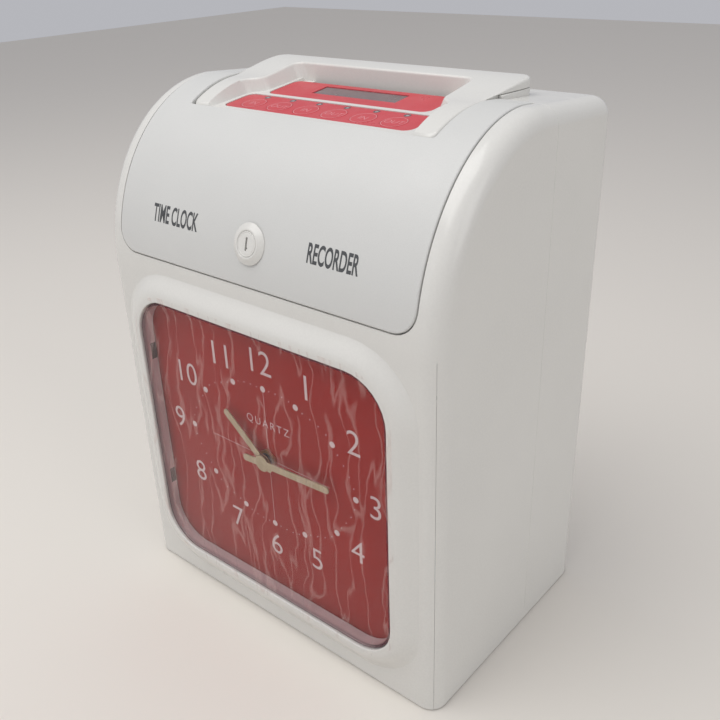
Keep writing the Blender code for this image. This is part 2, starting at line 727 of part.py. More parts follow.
def hinge(side, name, steel):
    """A hinge bracket under the case's edge and the pin it holds."""
    inner = LUG_X + LUG_WIDTH / 2 + LUG_PLAY
    outer = HALF - WALL - GAP
    low = HINGE_Z - BRACKET_DROP
    foot = sorted((side * inner, side * outer))
    ear = sorted((side * inner, side * (inner + EAR_WIDTH)))
    bracket = add(
        f"hinge_bracket_{name}",
        block(
            (foot[0], HINGE_Y - BRACKET_HALF, low),
            (foot[1], HINGE_Y + BRACKET_HALF, low + BRACKET_THICK),
        ),
        steel,
    )
    upright = block((ear[0], HINGE_Y - EAR_RADIUS, low + PAST), (ear[1], HINGE_Y + EAR_RADIUS, HINGE_Z))
    tip = rod((ear[0], HINGE_Y, HINGE_Z), (ear[1], HINGE_Y, HINGE_Z), EAR_RADIUS, 16)
    combine(bracket, "UNION", upright, tip)
    hole = rod(
        (ear[0] - PAST, HINGE_Y, HINGE_Z), (ear[1] + PAST, HINGE_Y, HINGE_Z), PIN_RADIUS + GAP, 16
    )
    combine(bracket, "DIFFERENCE", hole)
    start = side * (LUG_X - LUG_WIDTH / 2 - 2 * PIN_PROUD)
    end = side * (inner + EAR_WIDTH + PIN_PROUD)
    pin = rod((start, HINGE_Y, HINGE_Z), (end, HINGE_Y, HINGE_Z), PIN_RADIUS, 16)
    add(f"hinge_pin_{name}", pin, steel, round_piece=True)


def lock(lid_joint, white, steel):
    """The key lock: barrel and nut on the lid, plug and cam that turn in it."""
    frame = joint("lock_turn", LOCK_POINT, (LOCK_TILT, 0, 0))
    frame.parent = lid_joint
    frame.matrix_parent_inverse = lid_joint.matrix_world.inverted()
    bpy.context.view_layer.update()
    # In the lock's own frame outwards is -Y.
    bore = PLUG_RADIUS + RUNNING
    profile = [
        (bore, LOCK_PROUD),
        (LOCK_FACE, LOCK_PROUD),
        (LOCK_FLANGE, LOCK_EDGE),
        (LOCK_FLANGE, GAP),
        (LOCK_BODY, GAP),
        (LOCK_BODY, -LOCK_LENGTH),
        (bore, -LOCK_LENGTH),
    ]
    turned("lock_barrel", profile, white, (0, 0, 0), "Y", frame, 24, hollow=True)
    nut_y = LID_THICK + NUT_BELOW
    nut_radius, nut_thick = NUT_SIZE
    hexagon = rod((0, nut_y, 0), (0, nut_y + nut_thick, 0), nut_radius, 6)
    nut = add("lock_nut", hexagon, steel, parent=frame)
    hole = rod((0, 0, 0), (0, LOCK_LENGTH * 2, 0), LOCK_BODY + GAP, 24)
    combine(nut, "DIFFERENCE", hole, frame=frame)
    cam_y = LOCK_LENGTH + 2 * GAP
    tail_end = cam_y + CAM_THICK + PAST
    out = -LOCK_PROUD
    profile = [
        (0, LOCK_PROUD - GAP),
        (PLUG_RADIUS, LOCK_PROUD - GAP),
        (PLUG_RADIUS, -LOCK_LENGTH),
        (TAIL_RADIUS, -LOCK_LENGTH),
        (TAIL_RADIUS, -tail_end),
        (0, -tail_end),
    ]
    plug = turned("lock_plug", profile, white, (0, 0, 0), "Y", frame, 24)
    wide, tall, deep = KEYWAY
    slot = block((-wide / 2, out - PAST, -tall / 2), (wide / 2, out + deep, tall / 2))
    combine(plug, "DIFFERENCE", slot, frame=frame)
    shape = arc((0, 0), CAM_WIDTH / 2, 90, 270, 8)
    shape += [(CAM_LENGTH, -CAM_TIP), (CAM_LENGTH, CAM_TIP)]
    cam = add("lock_cam", prism(shape, cam_y, cam_y + CAM_THICK, "Y"), steel, parent=frame)
    eye = rod((0, 0, 0), (0, LOCK_LENGTH * 3, 0), TAIL_RADIUS + GAP, 12)
    combine(cam, "DIFFERENCE", eye, frame=frame)


def window_lens(finish):
    front = RIM_Y + LENS_INSET
    back = WELL_END - 0.4 * MM
    lens = add("window_lens", window(-LENS_FIT, front, back), finish)
    for side in (-1, 1):
        for height in (CLIP_LOWER, CLIP_UPPER):
            z = WINDOW_LOW + height
            ends = sorted((side * (WINDOW_HALF - LENS_FIT - 0.6 * MM), side * (WINDOW_HALF + CLIP_REACH)))
            hook = block(
                (ends[0], WELL_END - CLIP_DEPTH + GAP, z - CLIP_HEIGHT / 2 + GAP),
                (ends[1], back, z + CLIP_HEIGHT / 2 - GAP),
            )
            combine(lens, "UNION", hook)
    combine(lens, "DIFFERENCE", window(-LENS_FIT - LENS_SKIRT, front + LENS_THICK, 0))
    return lens


def dial(red, white):
    hole = NOZZLE_RADIUS + GAP
    plate = add("dial_plate", window(DIAL_OVERLAP, DIAL_Y, DIAL_Y + DIAL_THICK), red)
    carrier = add(
        "dial_carrier", window(CARRIER_OVERLAP, CARRIER_Y, CARRIER_Y + CARRIER_THICK), white
    )
    for piece in (plate, carrier):
        bore = rod((0, RIM_Y, HUB_Z), (0, MOVEMENT_Y, HUB_Z), hole, 16)
        combine(piece, "DIFFERENCE", bore)


def hand_outline(tip, tail, width, hub):
    """A baton with round ends and a round hub, pointing to +Z, as (x, z)."""
    w = width / 2
    reach = sqrt(hub * hub - w * w)
    side = degrees(atan2(reach, w))
    right = arc((0, tip - w), w, 90, 0, 4) + arc((0, 0), hub, side, -side, 8)
    right += arc((0, w - tail), w, 0, -90, 4)
    return right + [(-x, z) for x, z in reversed(right[1:-1])]


def clock(metal, dark, brass):
    """The quartz movement, its nut and the two hands, each on an empty on the hub's axis."""
    half = MOVEMENT_SIDE / 2
    movement = add(
        "quartz_movement",
        prism(rounded(half, half, 4 * MM, (0, HUB_Z), 2), MOVEMENT_Y, MOVEMENT_Y + MOVEMENT_DEPTH, "Y"),
        dark,
    )
    nut_y = DIAL_Y - GAP
    nozzle_end = nut_y - NUT_THICK - 0.4 * MM
    nozzle = rod((0, nozzle_end, HUB_Z), (0, MOVEMENT_Y + MM, HUB_Z), NOZZLE_RADIUS, 20)
    combine(movement, "UNION", nozzle)
    bore_end = MOVEMENT_Y + 4 * MM
    combine(movement, "DIFFERENCE", rod((0, RIM_Y, HUB_Z), (0, bore_end, HUB_Z), NOZZLE_BORE, 20))
    nut = add("movement_nut", rod((0, nut_y - NUT_THICK, HUB_Z), (0, nut_y, HUB_Z), NUT_RADIUS, 6), brass)
    hole = rod((0, RIM_Y, HUB_Z), (0, DIAL_Y, HUB_Z), NOZZLE_RADIUS + GAP, 20)
    combine(nut, "DIFFERENCE", hole)

    minute_y = RIM_Y + LENS_INSET + LENS_THICK + 0.7 * MM
    hour_y = minute_y + HAND_THICK + 0.8 * MM
    sleeve = ARBOR_RADIUS + RUNNING + 0.1 * MM + SLEEVE_WALL
    hour_joint = joint("hour_turn", (0, hour_y, HUB_Z), (0, HOUR_ANGLE, 0))
    outline = hand_outline(HOUR_TIP, HOUR_TAIL, HOUR_WIDTH, HUB_RADIUS)
    hour = add("hour_hand", prism(outline, 0, HAND_THICK, "Y"), metal, parent=hour_joint)
    inner_end = bore_end - GAP - hour_y
    tube = rod((0, HAND_THICK / 2, 0), (0, inner_end, 0), sleeve, 16)
    combine(hour, "UNION", tube, frame=hour_joint)
    bore = rod((0, -HAND_THICK, 0), (0, inner_end * 2, 0), ARBOR_RADIUS + RUNNING + 0.1 * MM, 16)
    combine(hour, "DIFFERENCE", bore, frame=hour_joint)

    minute_joint = joint("minute_turn", (0, minute_y, HUB_Z), (0, MINUTE_ANGLE, 0))
    outline = hand_outline(MINUTE_TIP, MINUTE_TAIL, MINUTE_WIDTH, HUB_RADIUS)
    minute = add("minute_hand", prism(outline, 0, HAND_THICK, "Y"), metal, parent=minute_joint)
    arbor = rod((0, -0.3 * MM, 0), (0, bore_end - GAP - minute_y, 0), ARBOR_RADIUS, 12)
    combine(minute, "UNION", arbor, frame=minute_joint)


def card_collar(finish):
    front, back = ARCH_Y - COLLAR_FRONT, ARCH_Y + COLLAR_BACK
    top = CASE_HEIGHT + COLLAR_TOP
    low = CASE_HEIGHT - COLLAR_DEEP
    body_back = back - CAP_OVERHANG
    slope = [p for p in arch_points(0, arch_z(front)) if p[0] < ARCH_Y - 4 * MM]
    rise = [(ARCH_Y + 2 * MM, CASE_HEIGHT - 0.2 * MM), (ARCH_Y + 24 * MM, top - 1.5 * MM)]
    outline = slope + rise + [(body_back, top - 0.1 * MM), (body_back, low), (front, low)]
    body = prism(outline, -1.0, 1.0, "X")
    for vert in body.verts:
        vert.co.x *= collar_half(vert.co.y)
    collar = add("card_collar", body, finish)
    cap_half = HALF - CAP_SIDE
    seat = CASE_HEIGHT + PLINTH + GAP
    cap_front = PARTING_Y + GAP
    share = (cap_front - rise[0][0]) / (rise[1][0] - rise[0][0])
    cap = [
        (cap_front, seat),
        (cap_front, rise[0][1] + share * (rise[1][1] - rise[0][1])),
        rise[1],
        (back - 2 * MM, top),
        (back, top - 2 * MM),
        (back, seat),
    ]
    combine(collar, "UNION", prism(cap, -cap_half, cap_half, "X"))
    floor = STRIP_THICK + GAP
    slot_end = (SLOT_Y + SLOT_DEEP - TRAY_Y) / cos(TRAY_TILT)
    ridge_back = KEYPAD_DEEP + RIDGE
    rim_back = (front + TRAY_RIM - TRAY_Y) / cos(TRAY_TILT)
    loops = []
    for height in (GAP, COLLAR_DEEP):
        wide = TRAY_HALF + TRAY_MARGIN + TRAY_FLARE * (height - GAP)
        plan = [(wide, rim_back), (wide, ridge_back)]
        plan += [(wide - TRAY_JOG, ridge_back), (wide - TRAY_JOG, slot_end)]
        plan += [(-x, v) for x, v in reversed(plan)]
        loops.append([lift(p, "Z", height) for p in plan])
    recess = skin(loops)
    keypad = block(
        (-TRAY_HALF, -STRIP_PLAY, -floor), (TRAY_HALF, KEYPAD_DEEP + GAP, COLLAR_DEEP / 2)
    )
    display = block(
        (-DISPLAY_HALF, ridge_back - GAP, -floor), (DISPLAY_HALF, slot_end, COLLAR_DEEP / 2)
    )
    under = block(
        (WALL - collar_half(front), 0, -floor - TRAY_FLOOR - COLLAR_DEEP),
        (collar_half(front) - WALL, (body_back - WALL - TRAY_Y) / cos(TRAY_TILT), -floor - TRAY_FLOOR),
    )
    glass_w, glass_v = LCD_WIDTH / 2 + LCD_BORDER + GAP, LCD_DEEP / 2 + LCD_BORDER + GAP
    glass = block((-glass_w, LCD_V - glass_v, -COLLAR_DEEP / 2), (glass_w, LCD_V + glass_v, 0))
    for bm in (recess, keypad, display, under, glass):
        bmesh.ops.transform(bm, matrix=TRAY_FRAME, verts=bm.verts)
        combine(collar, "DIFFERENCE", bm)
    slot = block(
        (-SLOT_WIDTH / 2, SLOT_Y, low - 10 * MM), (SLOT_WIDTH / 2, SLOT_Y + SLOT_DEEP, TRAY_Z + 10 * MM)
    )
    combine(collar, "DIFFERENCE", slot)
    for x in KEY_X:
        for v, radius in ((KEY_BACK, STEM_RADIUS + STEM_PLAY), (LED_BACK, LED_RADIUS + GAP)):
            hole = rod((x, v, -COLLAR_DEEP / 2), (x, v, 0), radius, 10)
            bmesh.ops.transform(hole, matrix=TRAY_FRAME, verts=hole.verts)
            combine(collar, "DIFFERENCE", hole)
    return collar


def keypad(tray, red, green, grey):
    """The red keypad strip, its six keys, and the board with switches and lamps below them."""
    half = TRAY_HALF - GAP
    strip = add("keypad_overlay", block((-half, 0, -STRIP_THICK), (half, KEYPAD_DEEP, 0)), red, parent=tray)
    board = add(
        "keypad_board",
        block((-half, BOARD_THICK, -BOARD_DEEP - BOARD_THICK), (half, KEYPAD_DEEP, -BOARD_DEEP)),
        green,
        parent=tray,
    )
    switch_top = -STRIP_THICK - GAP - TRAY_FLOOR - SWITCH_DROP
    for name, x in zip(KEYS, KEY_X):
        hole = rod((x, KEY_BACK, -STRIP_THICK * 2), (x, KEY_BACK, PAST), KEY_RADIUS + GAP, 20)
        peep = rod((x, LED_BACK, -STRIP_THICK * 2), (x, LED_BACK, PAST), LED_RADIUS + GAP, 10)
        combine(strip, "DIFFERENCE", hole, peep, frame=tray)
        foot = -BOARD_DEEP - SINK
        lamp = rod((x, LED_BACK, foot), (x, LED_BACK, -LAMP_DOWN), LED_RADIUS, 10)
        switch = block(
            (x - SWITCH_HALF, KEY_BACK - SWITCH_HALF, foot),
            (x + SWITCH_HALF, KEY_BACK + SWITCH_HALF, switch_top),
        )
        combine(board, "UNION", lamp, switch, frame=tray)
        centre = TRAY_FRAME @ Vector((x, KEY_BACK, 0))
        slide = joint(f"key_{name}_press", centre, (TRAY_TILT, 0, 0))
        key = add(f"key_{name}", rod((0, 0, -KEY_HEAD), (0, 0, 0), KEY_RADIUS, 20), grey, parent=slide)
        stem_low = switch_top + KEY_TRAVEL + GAP
        stem = rod((0, 0, -KEY_HEAD / 2), (0, 0, stem_low), STEM_RADIUS, 10)
        combine(key, "UNION", stem, frame=slide)


def display(tray, red, glass):
    half = DISPLAY_HALF - GAP
    panel = add(
        "display_panel",
        block((-half, DISPLAY_V, -STRIP_THICK), (half, DISPLAY_V + DISPLAY_DEEP, 0)),
        red,
        parent=tray,
    )
    pane = block(
        (-LCD_WIDTH / 2, LCD_V - LCD_DEEP / 2, -STRIP_THICK * 2),
        (LCD_WIDTH / 2, LCD_V + LCD_DEEP / 2, PAST),
    )
    combine(panel, "DIFFERENCE", pane, frame=tray)
    w, v = LCD_WIDTH / 2 + LCD_BORDER, LCD_DEEP / 2 + LCD_BORDER
    top = -STRIP_THICK - GAP
    pane = block((-w, LCD_V - v, top - LCD_THICK), (w, LCD_V + v, top))
    module = add("lcd_module", pane, glass, parent=tray)
    beyond, deep = LCD_BOARD
    back = block(
        (-w - beyond, LCD_V - v, top - deep), (w + beyond, LCD_V + v, top - TRAY_FLOOR - 2 * GAP)
    )
    combine(module, "UNION", back, frame=tray)


def side_plate(name, side, steel):
    """One of the two steel plates that stand on the base and carry the printing shafts."""
    low, shoulder = BASE_Z + BASE_THICK + GAP, MECH_Z - PLATE_SHOULDER
    front, leg, back = ARCH_Y - PLATE_AHEAD, ARCH_Y - PLATE_LEG, FEED_Y + PLATE_BEHIND
    outline = [
        (leg, low),
        (back, low),
        (back, MECH_Z - PLATE_CHAMFER),
        (CARD_Y + 6 * MM, MECH_Z),
        (front, MECH_Z),
        (front, shoulder + PLATE_AHEAD),
        (leg, shoulder),
    ]
    ends = sorted((side * PLATE_X, side * (PLATE_X + PLATE)))
    plate = add(name, prism(outline, ends[0], ends[1], "X"), steel)
    holes = [
        (LEAD_Y, SHAFT_Z, SCREW_RADIUS + RUNNING),
        (FEED_Y, FEED_Z, SHAFT_RADIUS + RUNNING),
        (PINCH_Y, FEED_Z, PINCH_SHAFT + RUNNING),
    ]
    if side < 0:
        holes.append((MOTOR_Y, MOTOR_Z, MOTOR_SHAFT + RUNNING))
    for y, z, radius in holes:
        bore = rod((ends[0] - PAST, y, z), (ends[1] + PAST, y, z), radius, 14)
        combine(plate, "DIFFERENCE", bore)
    return plate


def printer(steel, dark, motor_finish):
    """Guide shaft, lead screw, carriage and print head."""
    inner = PLATE_X - GAP
    tie_z = SHAFT_Z - TIE_DROP
    tie = block((-inner, ARCH_Y - 18 * MM, tie_z), (inner, LEAD_Y + 8 * MM, tie_z + PLATE))
    add("mech_tie_plate", tie, steel)
    guide = rod((-inner, GUIDE_Y, SHAFT_Z), (inner, GUIDE_Y, SHAFT_Z), SHAFT_RADIUS, 16)
    add("guide_shaft", guide, steel, round_piece=True)

    turn = joint("lead_screw_turn", (0, LEAD_Y, SHAFT_Z))
    motor_x = PLATE_X + PLATE + GAP
    ends = (-motor_x - 2 * MM, motor_x + MOTOR_LENGTH / 2)
    screw = rod((ends[0], 0, 0), (ends[1], 0, 0), SCREW_RADIUS, 14)
    add("lead_screw", screw, steel, parent=turn, round_piece=True)
    body = block(
        (motor_x, LEAD_Y - MOTOR / 2, SHAFT_Z - MOTOR / 2),
        (motor_x + MOTOR_LENGTH, LEAD_Y + MOTOR / 2, SHAFT_Z + MOTOR / 2),
    )
    motor = add("carriage_motor", body, motor_finish)
    bore = rod(
        (motor_x - PAST, LEAD_Y, SHAFT_Z), (ends[1] + GAP, LEAD_Y, SHAFT_Z), SCREW_RADIUS + RUNNING, 14
    )
    combine(motor, "DIFFERENCE", bore)

    half, deep, tall = CARRIAGE
    low_y, low_z = GUIDE_Y - 6 * MM, SHAFT_Z - 10 * MM
    slide = joint("carriage_slide", (0, GUIDE_Y, SHAFT_Z))
    block_low = Vector((-half, low_y - GUIDE_Y, low_z - SHAFT_Z))
    carriage = add(
        "print_carriage", block(block_low, block_low + Vector((2 * half, deep, tall))), dark, parent=slide
    )
    for y, radius in ((0, SHAFT_RADIUS), (LEAD_Y - GUIDE_Y, SCREW_RADIUS)):
        bore = rod((-2 * half, y, 0), (2 * half, y, 0), radius + RUNNING, 16)
        combine(carriage, "DIFFERENCE", bore, frame=slide)
    head_z = low_z + tall + GAP - SHAFT_Z
    nose_end = CARD_Y - 1.8 * MM - GUIDE_Y
    coil_end = nose_end - 14 * MM
    head = add(
        "print_head",
        block((-HEAD_HALF, -8 * MM, head_z), (HEAD_HALF, coil_end, head_z + 26 * MM)),
        dark,
        parent=slide,
    )
    nose = block((-NOSE_HALF, coil_end - MM, head_z + 7 * MM), (NOSE_HALF, nose_end, head_z + 21 * MM))
    combine(head, "UNION", nose, frame=slide)


def card_chute(steel):
    """The two plates that the card slides between; the rear one carries the platen."""
    window_z = FEED_ROLLER + 2 * MM
    half = ROLLER_HALF + 1.5 * MM
    low = MECH_Z - CHUTE_LOW
    for name, side, high in (("front", -1, SHAFT_Z + 12 * MM), ("rear", 1, MECH_Z)):
        face = CARD_Y + side * CHUTE_GAP / 2
        ends = sorted((face, face + side * CHUTE_THICK))
        plate = add(
            f"card_chute_{name}", block((-CHUTE_HALF, ends[0], low), (CHUTE_HALF, ends[1], high)), steel
        )
        opening = block(
            (-half, face - 3 * MM, FEED_Z - window_z), (half, face + 3 * MM, FEED_Z + window_z)
        )
        combine(plate, "DIFFERENCE", opening)
        if side > 0:
            platen = block(
                (-CHUTE_HALF + 3 * MM, CARD_Y + 0.6 * MM, MECH_Z - 24 * MM),
                (CHUTE_HALF - 3 * MM, face + CHUTE_THICK / 2, MECH_Z - 8 * MM),
            )
            combine(plate, "UNION", platen)


def belt_loop(grow, steps=10):
    """Points of a belt's path round the two pulleys, as (y, z), grown outwards."""
    dy, dz = MOTOR_Y - FEED_Y, MOTOR_Z - FEED_Z
    line = degrees(atan2(dz, dy))
    lean = degrees(acos((FEED_PULLEY - MOTOR_PULLEY) / sqrt(dy * dy + dz * dz)))
    big = arc((FEED_Y, FEED_Z), FEED_PULLEY + grow, line + lean, line + 360 - lean, steps * 2)
    small = arc((MOTOR_Y, MOTOR_Z), MOTOR_PULLEY + grow, line - lean, line + lean, steps)
    return big + small


def pulley(name, radius, bore, parent, finish, location):
    """A flanged pulley turned about X."""
    half, rim = BELT_WIDTH / 2 + BELT_PLAY, radius + FLANGE
    profile = [
        (bore, half + RIM_THICK),
        (rim, half + RIM_THICK),
        (rim, half),
        (radius, half),
        (radius, -half),
        (rim, -half),
        (rim, -half - RIM_THICK),
        (bore, -half - RIM_THICK),
    ]
    return turned(name, profile, finish, location, "X", parent, hollow=True)


def card_feed(steel, rubber, dark, motor_finish):
    """Driven roller, pinch roller, motor, pulleys and belt."""
    pulley_x = -PLATE_X - PLATE - PULLEY_OUT
    turn = joint("feed_turn", (0, FEED_Y, FEED_Z))
    shaft = rod((pulley_x - 6 * MM, 0, 0), (PLATE_X + PLATE + 3 * MM, 0, 0), SHAFT_RADIUS, 16)
    add("feed_shaft", shaft, steel, parent=turn, round_piece=True)
    inner = SHAFT_RADIUS + GAP
    sleeve = [
        (inner, ROLLER_HALF),
        (FEED_ROLLER, ROLLER_HALF),
        (FEED_ROLLER, -ROLLER_HALF),
        (inner, -ROLLER_HALF),
    ]
    turned("feed_roller", sleeve, rubber, (0, 0, 0), "X", turn, 24, hollow=True)
    pulley("feed_pulley", FEED_PULLEY, inner, turn, dark, (pulley_x, 0, 0))

    pinch = joint("pinch_turn", (0, PINCH_Y, FEED_Z))
    end = PLATE_X + PLATE + 2 * MM
    profile = [
        (0, end),
        (PINCH_SHAFT, end),
        (PINCH_SHAFT, ROLLER_HALF),
        (PINCH_ROLLER, ROLLER_HALF),
        (PINCH_ROLLER, -ROLLER_HALF),
        (PINCH_SHAFT, -ROLLER_HALF),
        (PINCH_SHAFT, -end),
        (0, -end),
    ]
    turned("pinch_roller", profile, rubber, (0, 0, 0), "X", pinch, 20)

    motor_end = -PLATE_X + GAP
    body = block(
        (motor_end, MOTOR_Y - MOTOR / 2, MOTOR_Z - MOTOR / 2),
        (motor_end + MOTOR_LENGTH, MOTOR_Y + MOTOR / 2, MOTOR_Z + MOTOR / 2),
    )
    motor = add("feed_motor", body, motor_finish)
    shaft_end = motor_end + MOTOR_LENGTH / 2
    bore = rod(
        (motor_end - PAST, MOTOR_Y, MOTOR_Z), (shaft_end + GAP, MOTOR_Y, MOTOR_Z), MOTOR_SHAFT + RUNNING, 14
    )
    combine(motor, "DIFFERENCE", bore)
    spin = joint("motor_turn", (pulley_x, MOTOR_Y, MOTOR_Z))
    half, rim = BELT_WIDTH / 2 + BELT_PLAY, MOTOR_PULLEY + FLANGE
    profile = [
        (0, shaft_end - pulley_x),
        (MOTOR_SHAFT, shaft_end - pulley_x),
        (MOTOR_SHAFT, half + RIM_THICK),
        (rim, half + RIM_THICK),
        (rim, half),
        (MOTOR_PULLEY, half),
        (MOTOR_PULLEY, -half),
        (rim, -half),
        (rim, -half - RIM_THICK),
        (0, -half - RIM_THICK),
    ]
    turned("motor_pulley", profile, dark, (0, 0, 0), "X", spin, 16)
    loops = []
    for grow, side in ((GAP, -1), (GAP + BELT_THICK, -1), (GAP + BELT_THICK, 1), (GAP, 1)):
        x = pulley_x + side * BELT_WIDTH / 2
        loops.append([lift(p, "X", x) for p in belt_loop(grow)])
    add("feed_belt", skin(loops, ring=True), rubber)


def ribbon(dark, cloth):
    """The ribbon cassette that lies under the lid, its winding knob and the inked band."""
    low = MECH_Z - 26 * MM
    high = low + RIBBON_HEIGHT
    body_back = ARCH_Y - 20 * MM
    arm_end = CARD_Y - 2.5 * MM
    cassette = add(
        "ribbon_cassette",
        block((-RIBBON_HALF, body_back - RIBBON_DEEP, low), (RIBBON_HALF, body_back, high)),
        dark,
    )
    for side in (-1, 1):
        ends = sorted((side * RIBBON_HALF, side * (RIBBON_HALF - RIBBON_ARM)))
        arm = block((ends[0], body_back - MM, low + 4 * MM), (ends[1], arm_end, high - 2 * MM))
        combine(cassette, "UNION", arm)
    band = block(
        (-RIBBON_HALF, CARD_Y - 1.45 * MM, low + 5 * MM), (RIBBON_HALF, CARD_Y - 1.05 * MM, high - 3 * MM)
    )
    add("ribbon_band", band, cloth)
    turn = joint("ribbon_turn", (-RIBBON_HALF * 0.7, body_back - 22 * MM, high))
    profile = [
        (0, 6 * MM),
        (KNOB_RADIUS - MM, 6 * MM),
        (KNOB_RADIUS, 5 * MM),
        (KNOB_RADIUS, GAP),
        (0, GAP),
    ]
    knob = turned("ribbon_knob", profile, dark, (0, 0, 0), "Z", turn, 16)
    grip = block((-MM, -KNOB_RADIUS * 2, 4 * MM), (MM, KNOB_RADIUS * 2, 10 * MM))
    combine(knob, "DIFFERENCE", grip, frame=turn)


def electrics(green, steel, dark, cell):
    """Main board, transformer, backup battery and power inlet."""
    rear = REAR_Y - WALL - 4 * MM
    board = add(
        "main_board",
        block((-70 * MM, rear - BOARD_THICK, 90 * MM), (70 * MM, rear, CASE_HEIGHT - 60 * MM)),
        green,
    )
    for x, z, w, h, tall in (
        (-40, 120, 24, 24, 6),
        (10, 130, 34, 14, 4),
        (48, 115, 16, 30, 12),
        (-10, 185, 60, 10, 8),
        (45, 180, 12, 12, 9),
    ):
        chip = block(
            (x * MM - w * MM / 2, rear - BOARD_THICK - tall * MM, z * MM - h * MM / 2),
            (x * MM + w * MM / 2, rear - BOARD_THICK / 2, z * MM + h * MM / 2),
        )
        combine(board, "UNION", chip)
    floor = BASE_Z + BASE_THICK + GAP
    core = block((-58 * MM, ARCH_Y - 10 * MM, floor), (-8 * MM, ARCH_Y + 20 * MM, floor + 40 * MM))
    transformer = add("transformer", core, steel)
    coil = block(
        (-48 * MM, ARCH_Y - 17 * MM, floor + 8 * MM), (-18 * MM, ARCH_Y + 27 * MM, floor + 32 * MM)
    )
    combine(transformer, "UNION", coil)
    radius, pitch = 7.2 * MM, 14 * MM
    rows = [ARCH_Y - pitch, ARCH_Y, ARCH_Y + pitch]
    ends = (8 * MM, 56 * MM)
    pack = add(
        "battery_pack",
        rod((ends[0], rows[0], floor + radius), (ends[1], rows[0], floor + radius), radius, 16),
        cell,
        round_piece=True,
    )
    for y in rows[1:]:
        combine(pack, "UNION", rod((ends[0], y, floor + radius), (ends[1], y, floor + radius), radius, 16))
    width, height, deep = INLET
    low = Vector((INLET_X - width / 2, REAR_Y - 0.2 * MM - deep, INLET_Z - height / 2))
    inlet = add("power_inlet", block(low, low + Vector((width, deep, height))), dark)
    wall = Vector((INLET_WALL, INLET_WALL, INLET_WALL))
    socket = block(low + wall, low + Vector((width, deep * 2, height)) - wall)
    combine(inlet, "DIFFERENCE", socket)


# Places of the lock, the hinge, the tray, the keys and the screws
LOCK_Z = LID_Z + LOCK_HEIGHT
LOCK_Y = arch_y(LOCK_Z, -LID_PROUD)
LOCK_TILT = -atan2((LOCK_Z - ARCH_Z) / ARCH_RISE**2, (ARCH_Y - LOCK_Y) / ARCH_RUN**2)
LOCK_OUT = Vector((0, -cos(LOCK_TILT), -sin(LOCK_TILT)))
LOCK_POINT = Vector((0, LOCK_Y, LOCK_Z))
HINGE_Z = arch_z(HINGE_Y) - HINGE_DEPTH
LUG_X = LID_HALF - LUG_FROM_EDGE - LUG_WIDTH / 2
TRAY_FRAME = Matrix.Translation((0, TRAY_Y, TRAY_Z)) @ Matrix.Rotation(TRAY_TILT, 4, "X")
KEY_X = [(k - (len(KEYS) - 1) / 2) * KEY_PITCH for k in range(len(KEYS))]
SCREW_X = HALF - SCREW_IN
TAB_Y = REAR_Y - WALL - BOSS_LENGTH - TAB_THICK - PAST
INLET_X = -HALF + 40 * MM
INLET_Z = 37 * MM

clear_scene()
PARTS = new_collection("Punch time clock")
CUTTERS = new_collection("Cutters")
WHITE = material("Glossy white", (0.79, 0.78, 0.75), 0.28)
LID_GREY = material("Light grey-white", (0.70, 0.70, 0.68), 0.42)
RED = material("Dial red", (0.42, 0.02, 0.02), 0.5)
STRIP_RED = material("Keypad red", (0.62, 0.07, 0.10), 0.4)
CLEAR = material("Clear plastic", (0.95, 0.95, 0.95), 0.05, alpha=0.3)
CHAMPAGNE = material("Champagne metal", (0.5, 0.45, 0.32), 0.35, 1.0)
STEEL = material("Zinc plated steel", (0.62, 0.63, 0.65), 0.35, 1.0)
BRASS = material("Brass", (0.75, 0.57, 0.25), 0.3, 1.0)
BLACK = material("Black plastic", (0.03, 0.03, 0.03), 0.45)
RUBBER = material("Black rubber", (0.02, 0.02, 0.02), 0.8)
GREEN = material("Board green", (0.02, 0.18, 0.07), 0.4)
LCD_GLASS = material("Display glass", (0.12, 0.13, 0.12), 0.15)
MOTOR_GREY = material("Motor grey", (0.25, 0.26, 0.28), 0.4, 1.0)
INK = material("Inked cloth", (0.02, 0.02, 0.05), 0.9)
CELL = material("Battery sleeve", (0.1, 0.25, 0.45), 0.4)

front_case(WHITE)
rear_cover(WHITE)
base_plate(STEEL)
rear_screw("rear_screw_left", -SCREW_X, STEEL)
rear_screw("rear_screw_right", SCREW_X, STEEL)
for row, foot_y in (("front", FRONT_Y + FOOT_IN), ("rear", REAR_Y - FOOT_IN)):
    for column, foot_x in (("left", FOOT_IN - HALF), ("right", HALF - FOOT_IN)):
        foot_shape = rod((foot_x, foot_y, 0), (foot_x, foot_y, FOOT_HEIGHT), FOOT_RADIUS, 16)
        add(f"foot_{row}_{column}", foot_shape, RUBBER, round_piece=True)
LID_JOINT = joint("lid_hinge", (0, HINGE_Y, HINGE_Z))
bpy.context.view_layer.update()
front_lid(LID_GREY, LID_JOINT)
hinge(-1, "left", STEEL)
hinge(1, "right", STEEL)
lock(LID_JOINT, WHITE, STEEL)
window_lens(CLEAR)
dial(RED, WHITE)
clock(CHAMPAGNE, BLACK, BRASS)
card_collar(WHITE)
TRAY = joint("tray", TRAY_FRAME.translation, (TRAY_TILT, 0, 0))
keypad(TRAY, STRIP_RED, GREEN, STRIP_RED)
display(TRAY, STRIP_RED, LCD_GLASS)
side_plate("mech_side_left", -1, STEEL)
side_plate("mech_side_right", 1, STEEL)
printer(STEEL, BLACK, MOTOR_GREY)
card_chute(STEEL)
card_feed(STEEL, RUBBER, BLACK, MOTOR_GREY)
ribbon(BLACK, INK)
electrics(GREEN, STEEL, BLACK, CELL)
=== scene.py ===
"""Punch time clock: its looks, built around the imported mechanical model.

Every length is in metres. +X is to the right of someone facing the dial, +Y runs from the dial to
the back and +Z is up. The origin lies under the middle of the clock, on the surface it stands on.
"""

import json
from bisect import bisect_left
from math import asin, atan2, copysign, cos, pi, radians, sin, sqrt

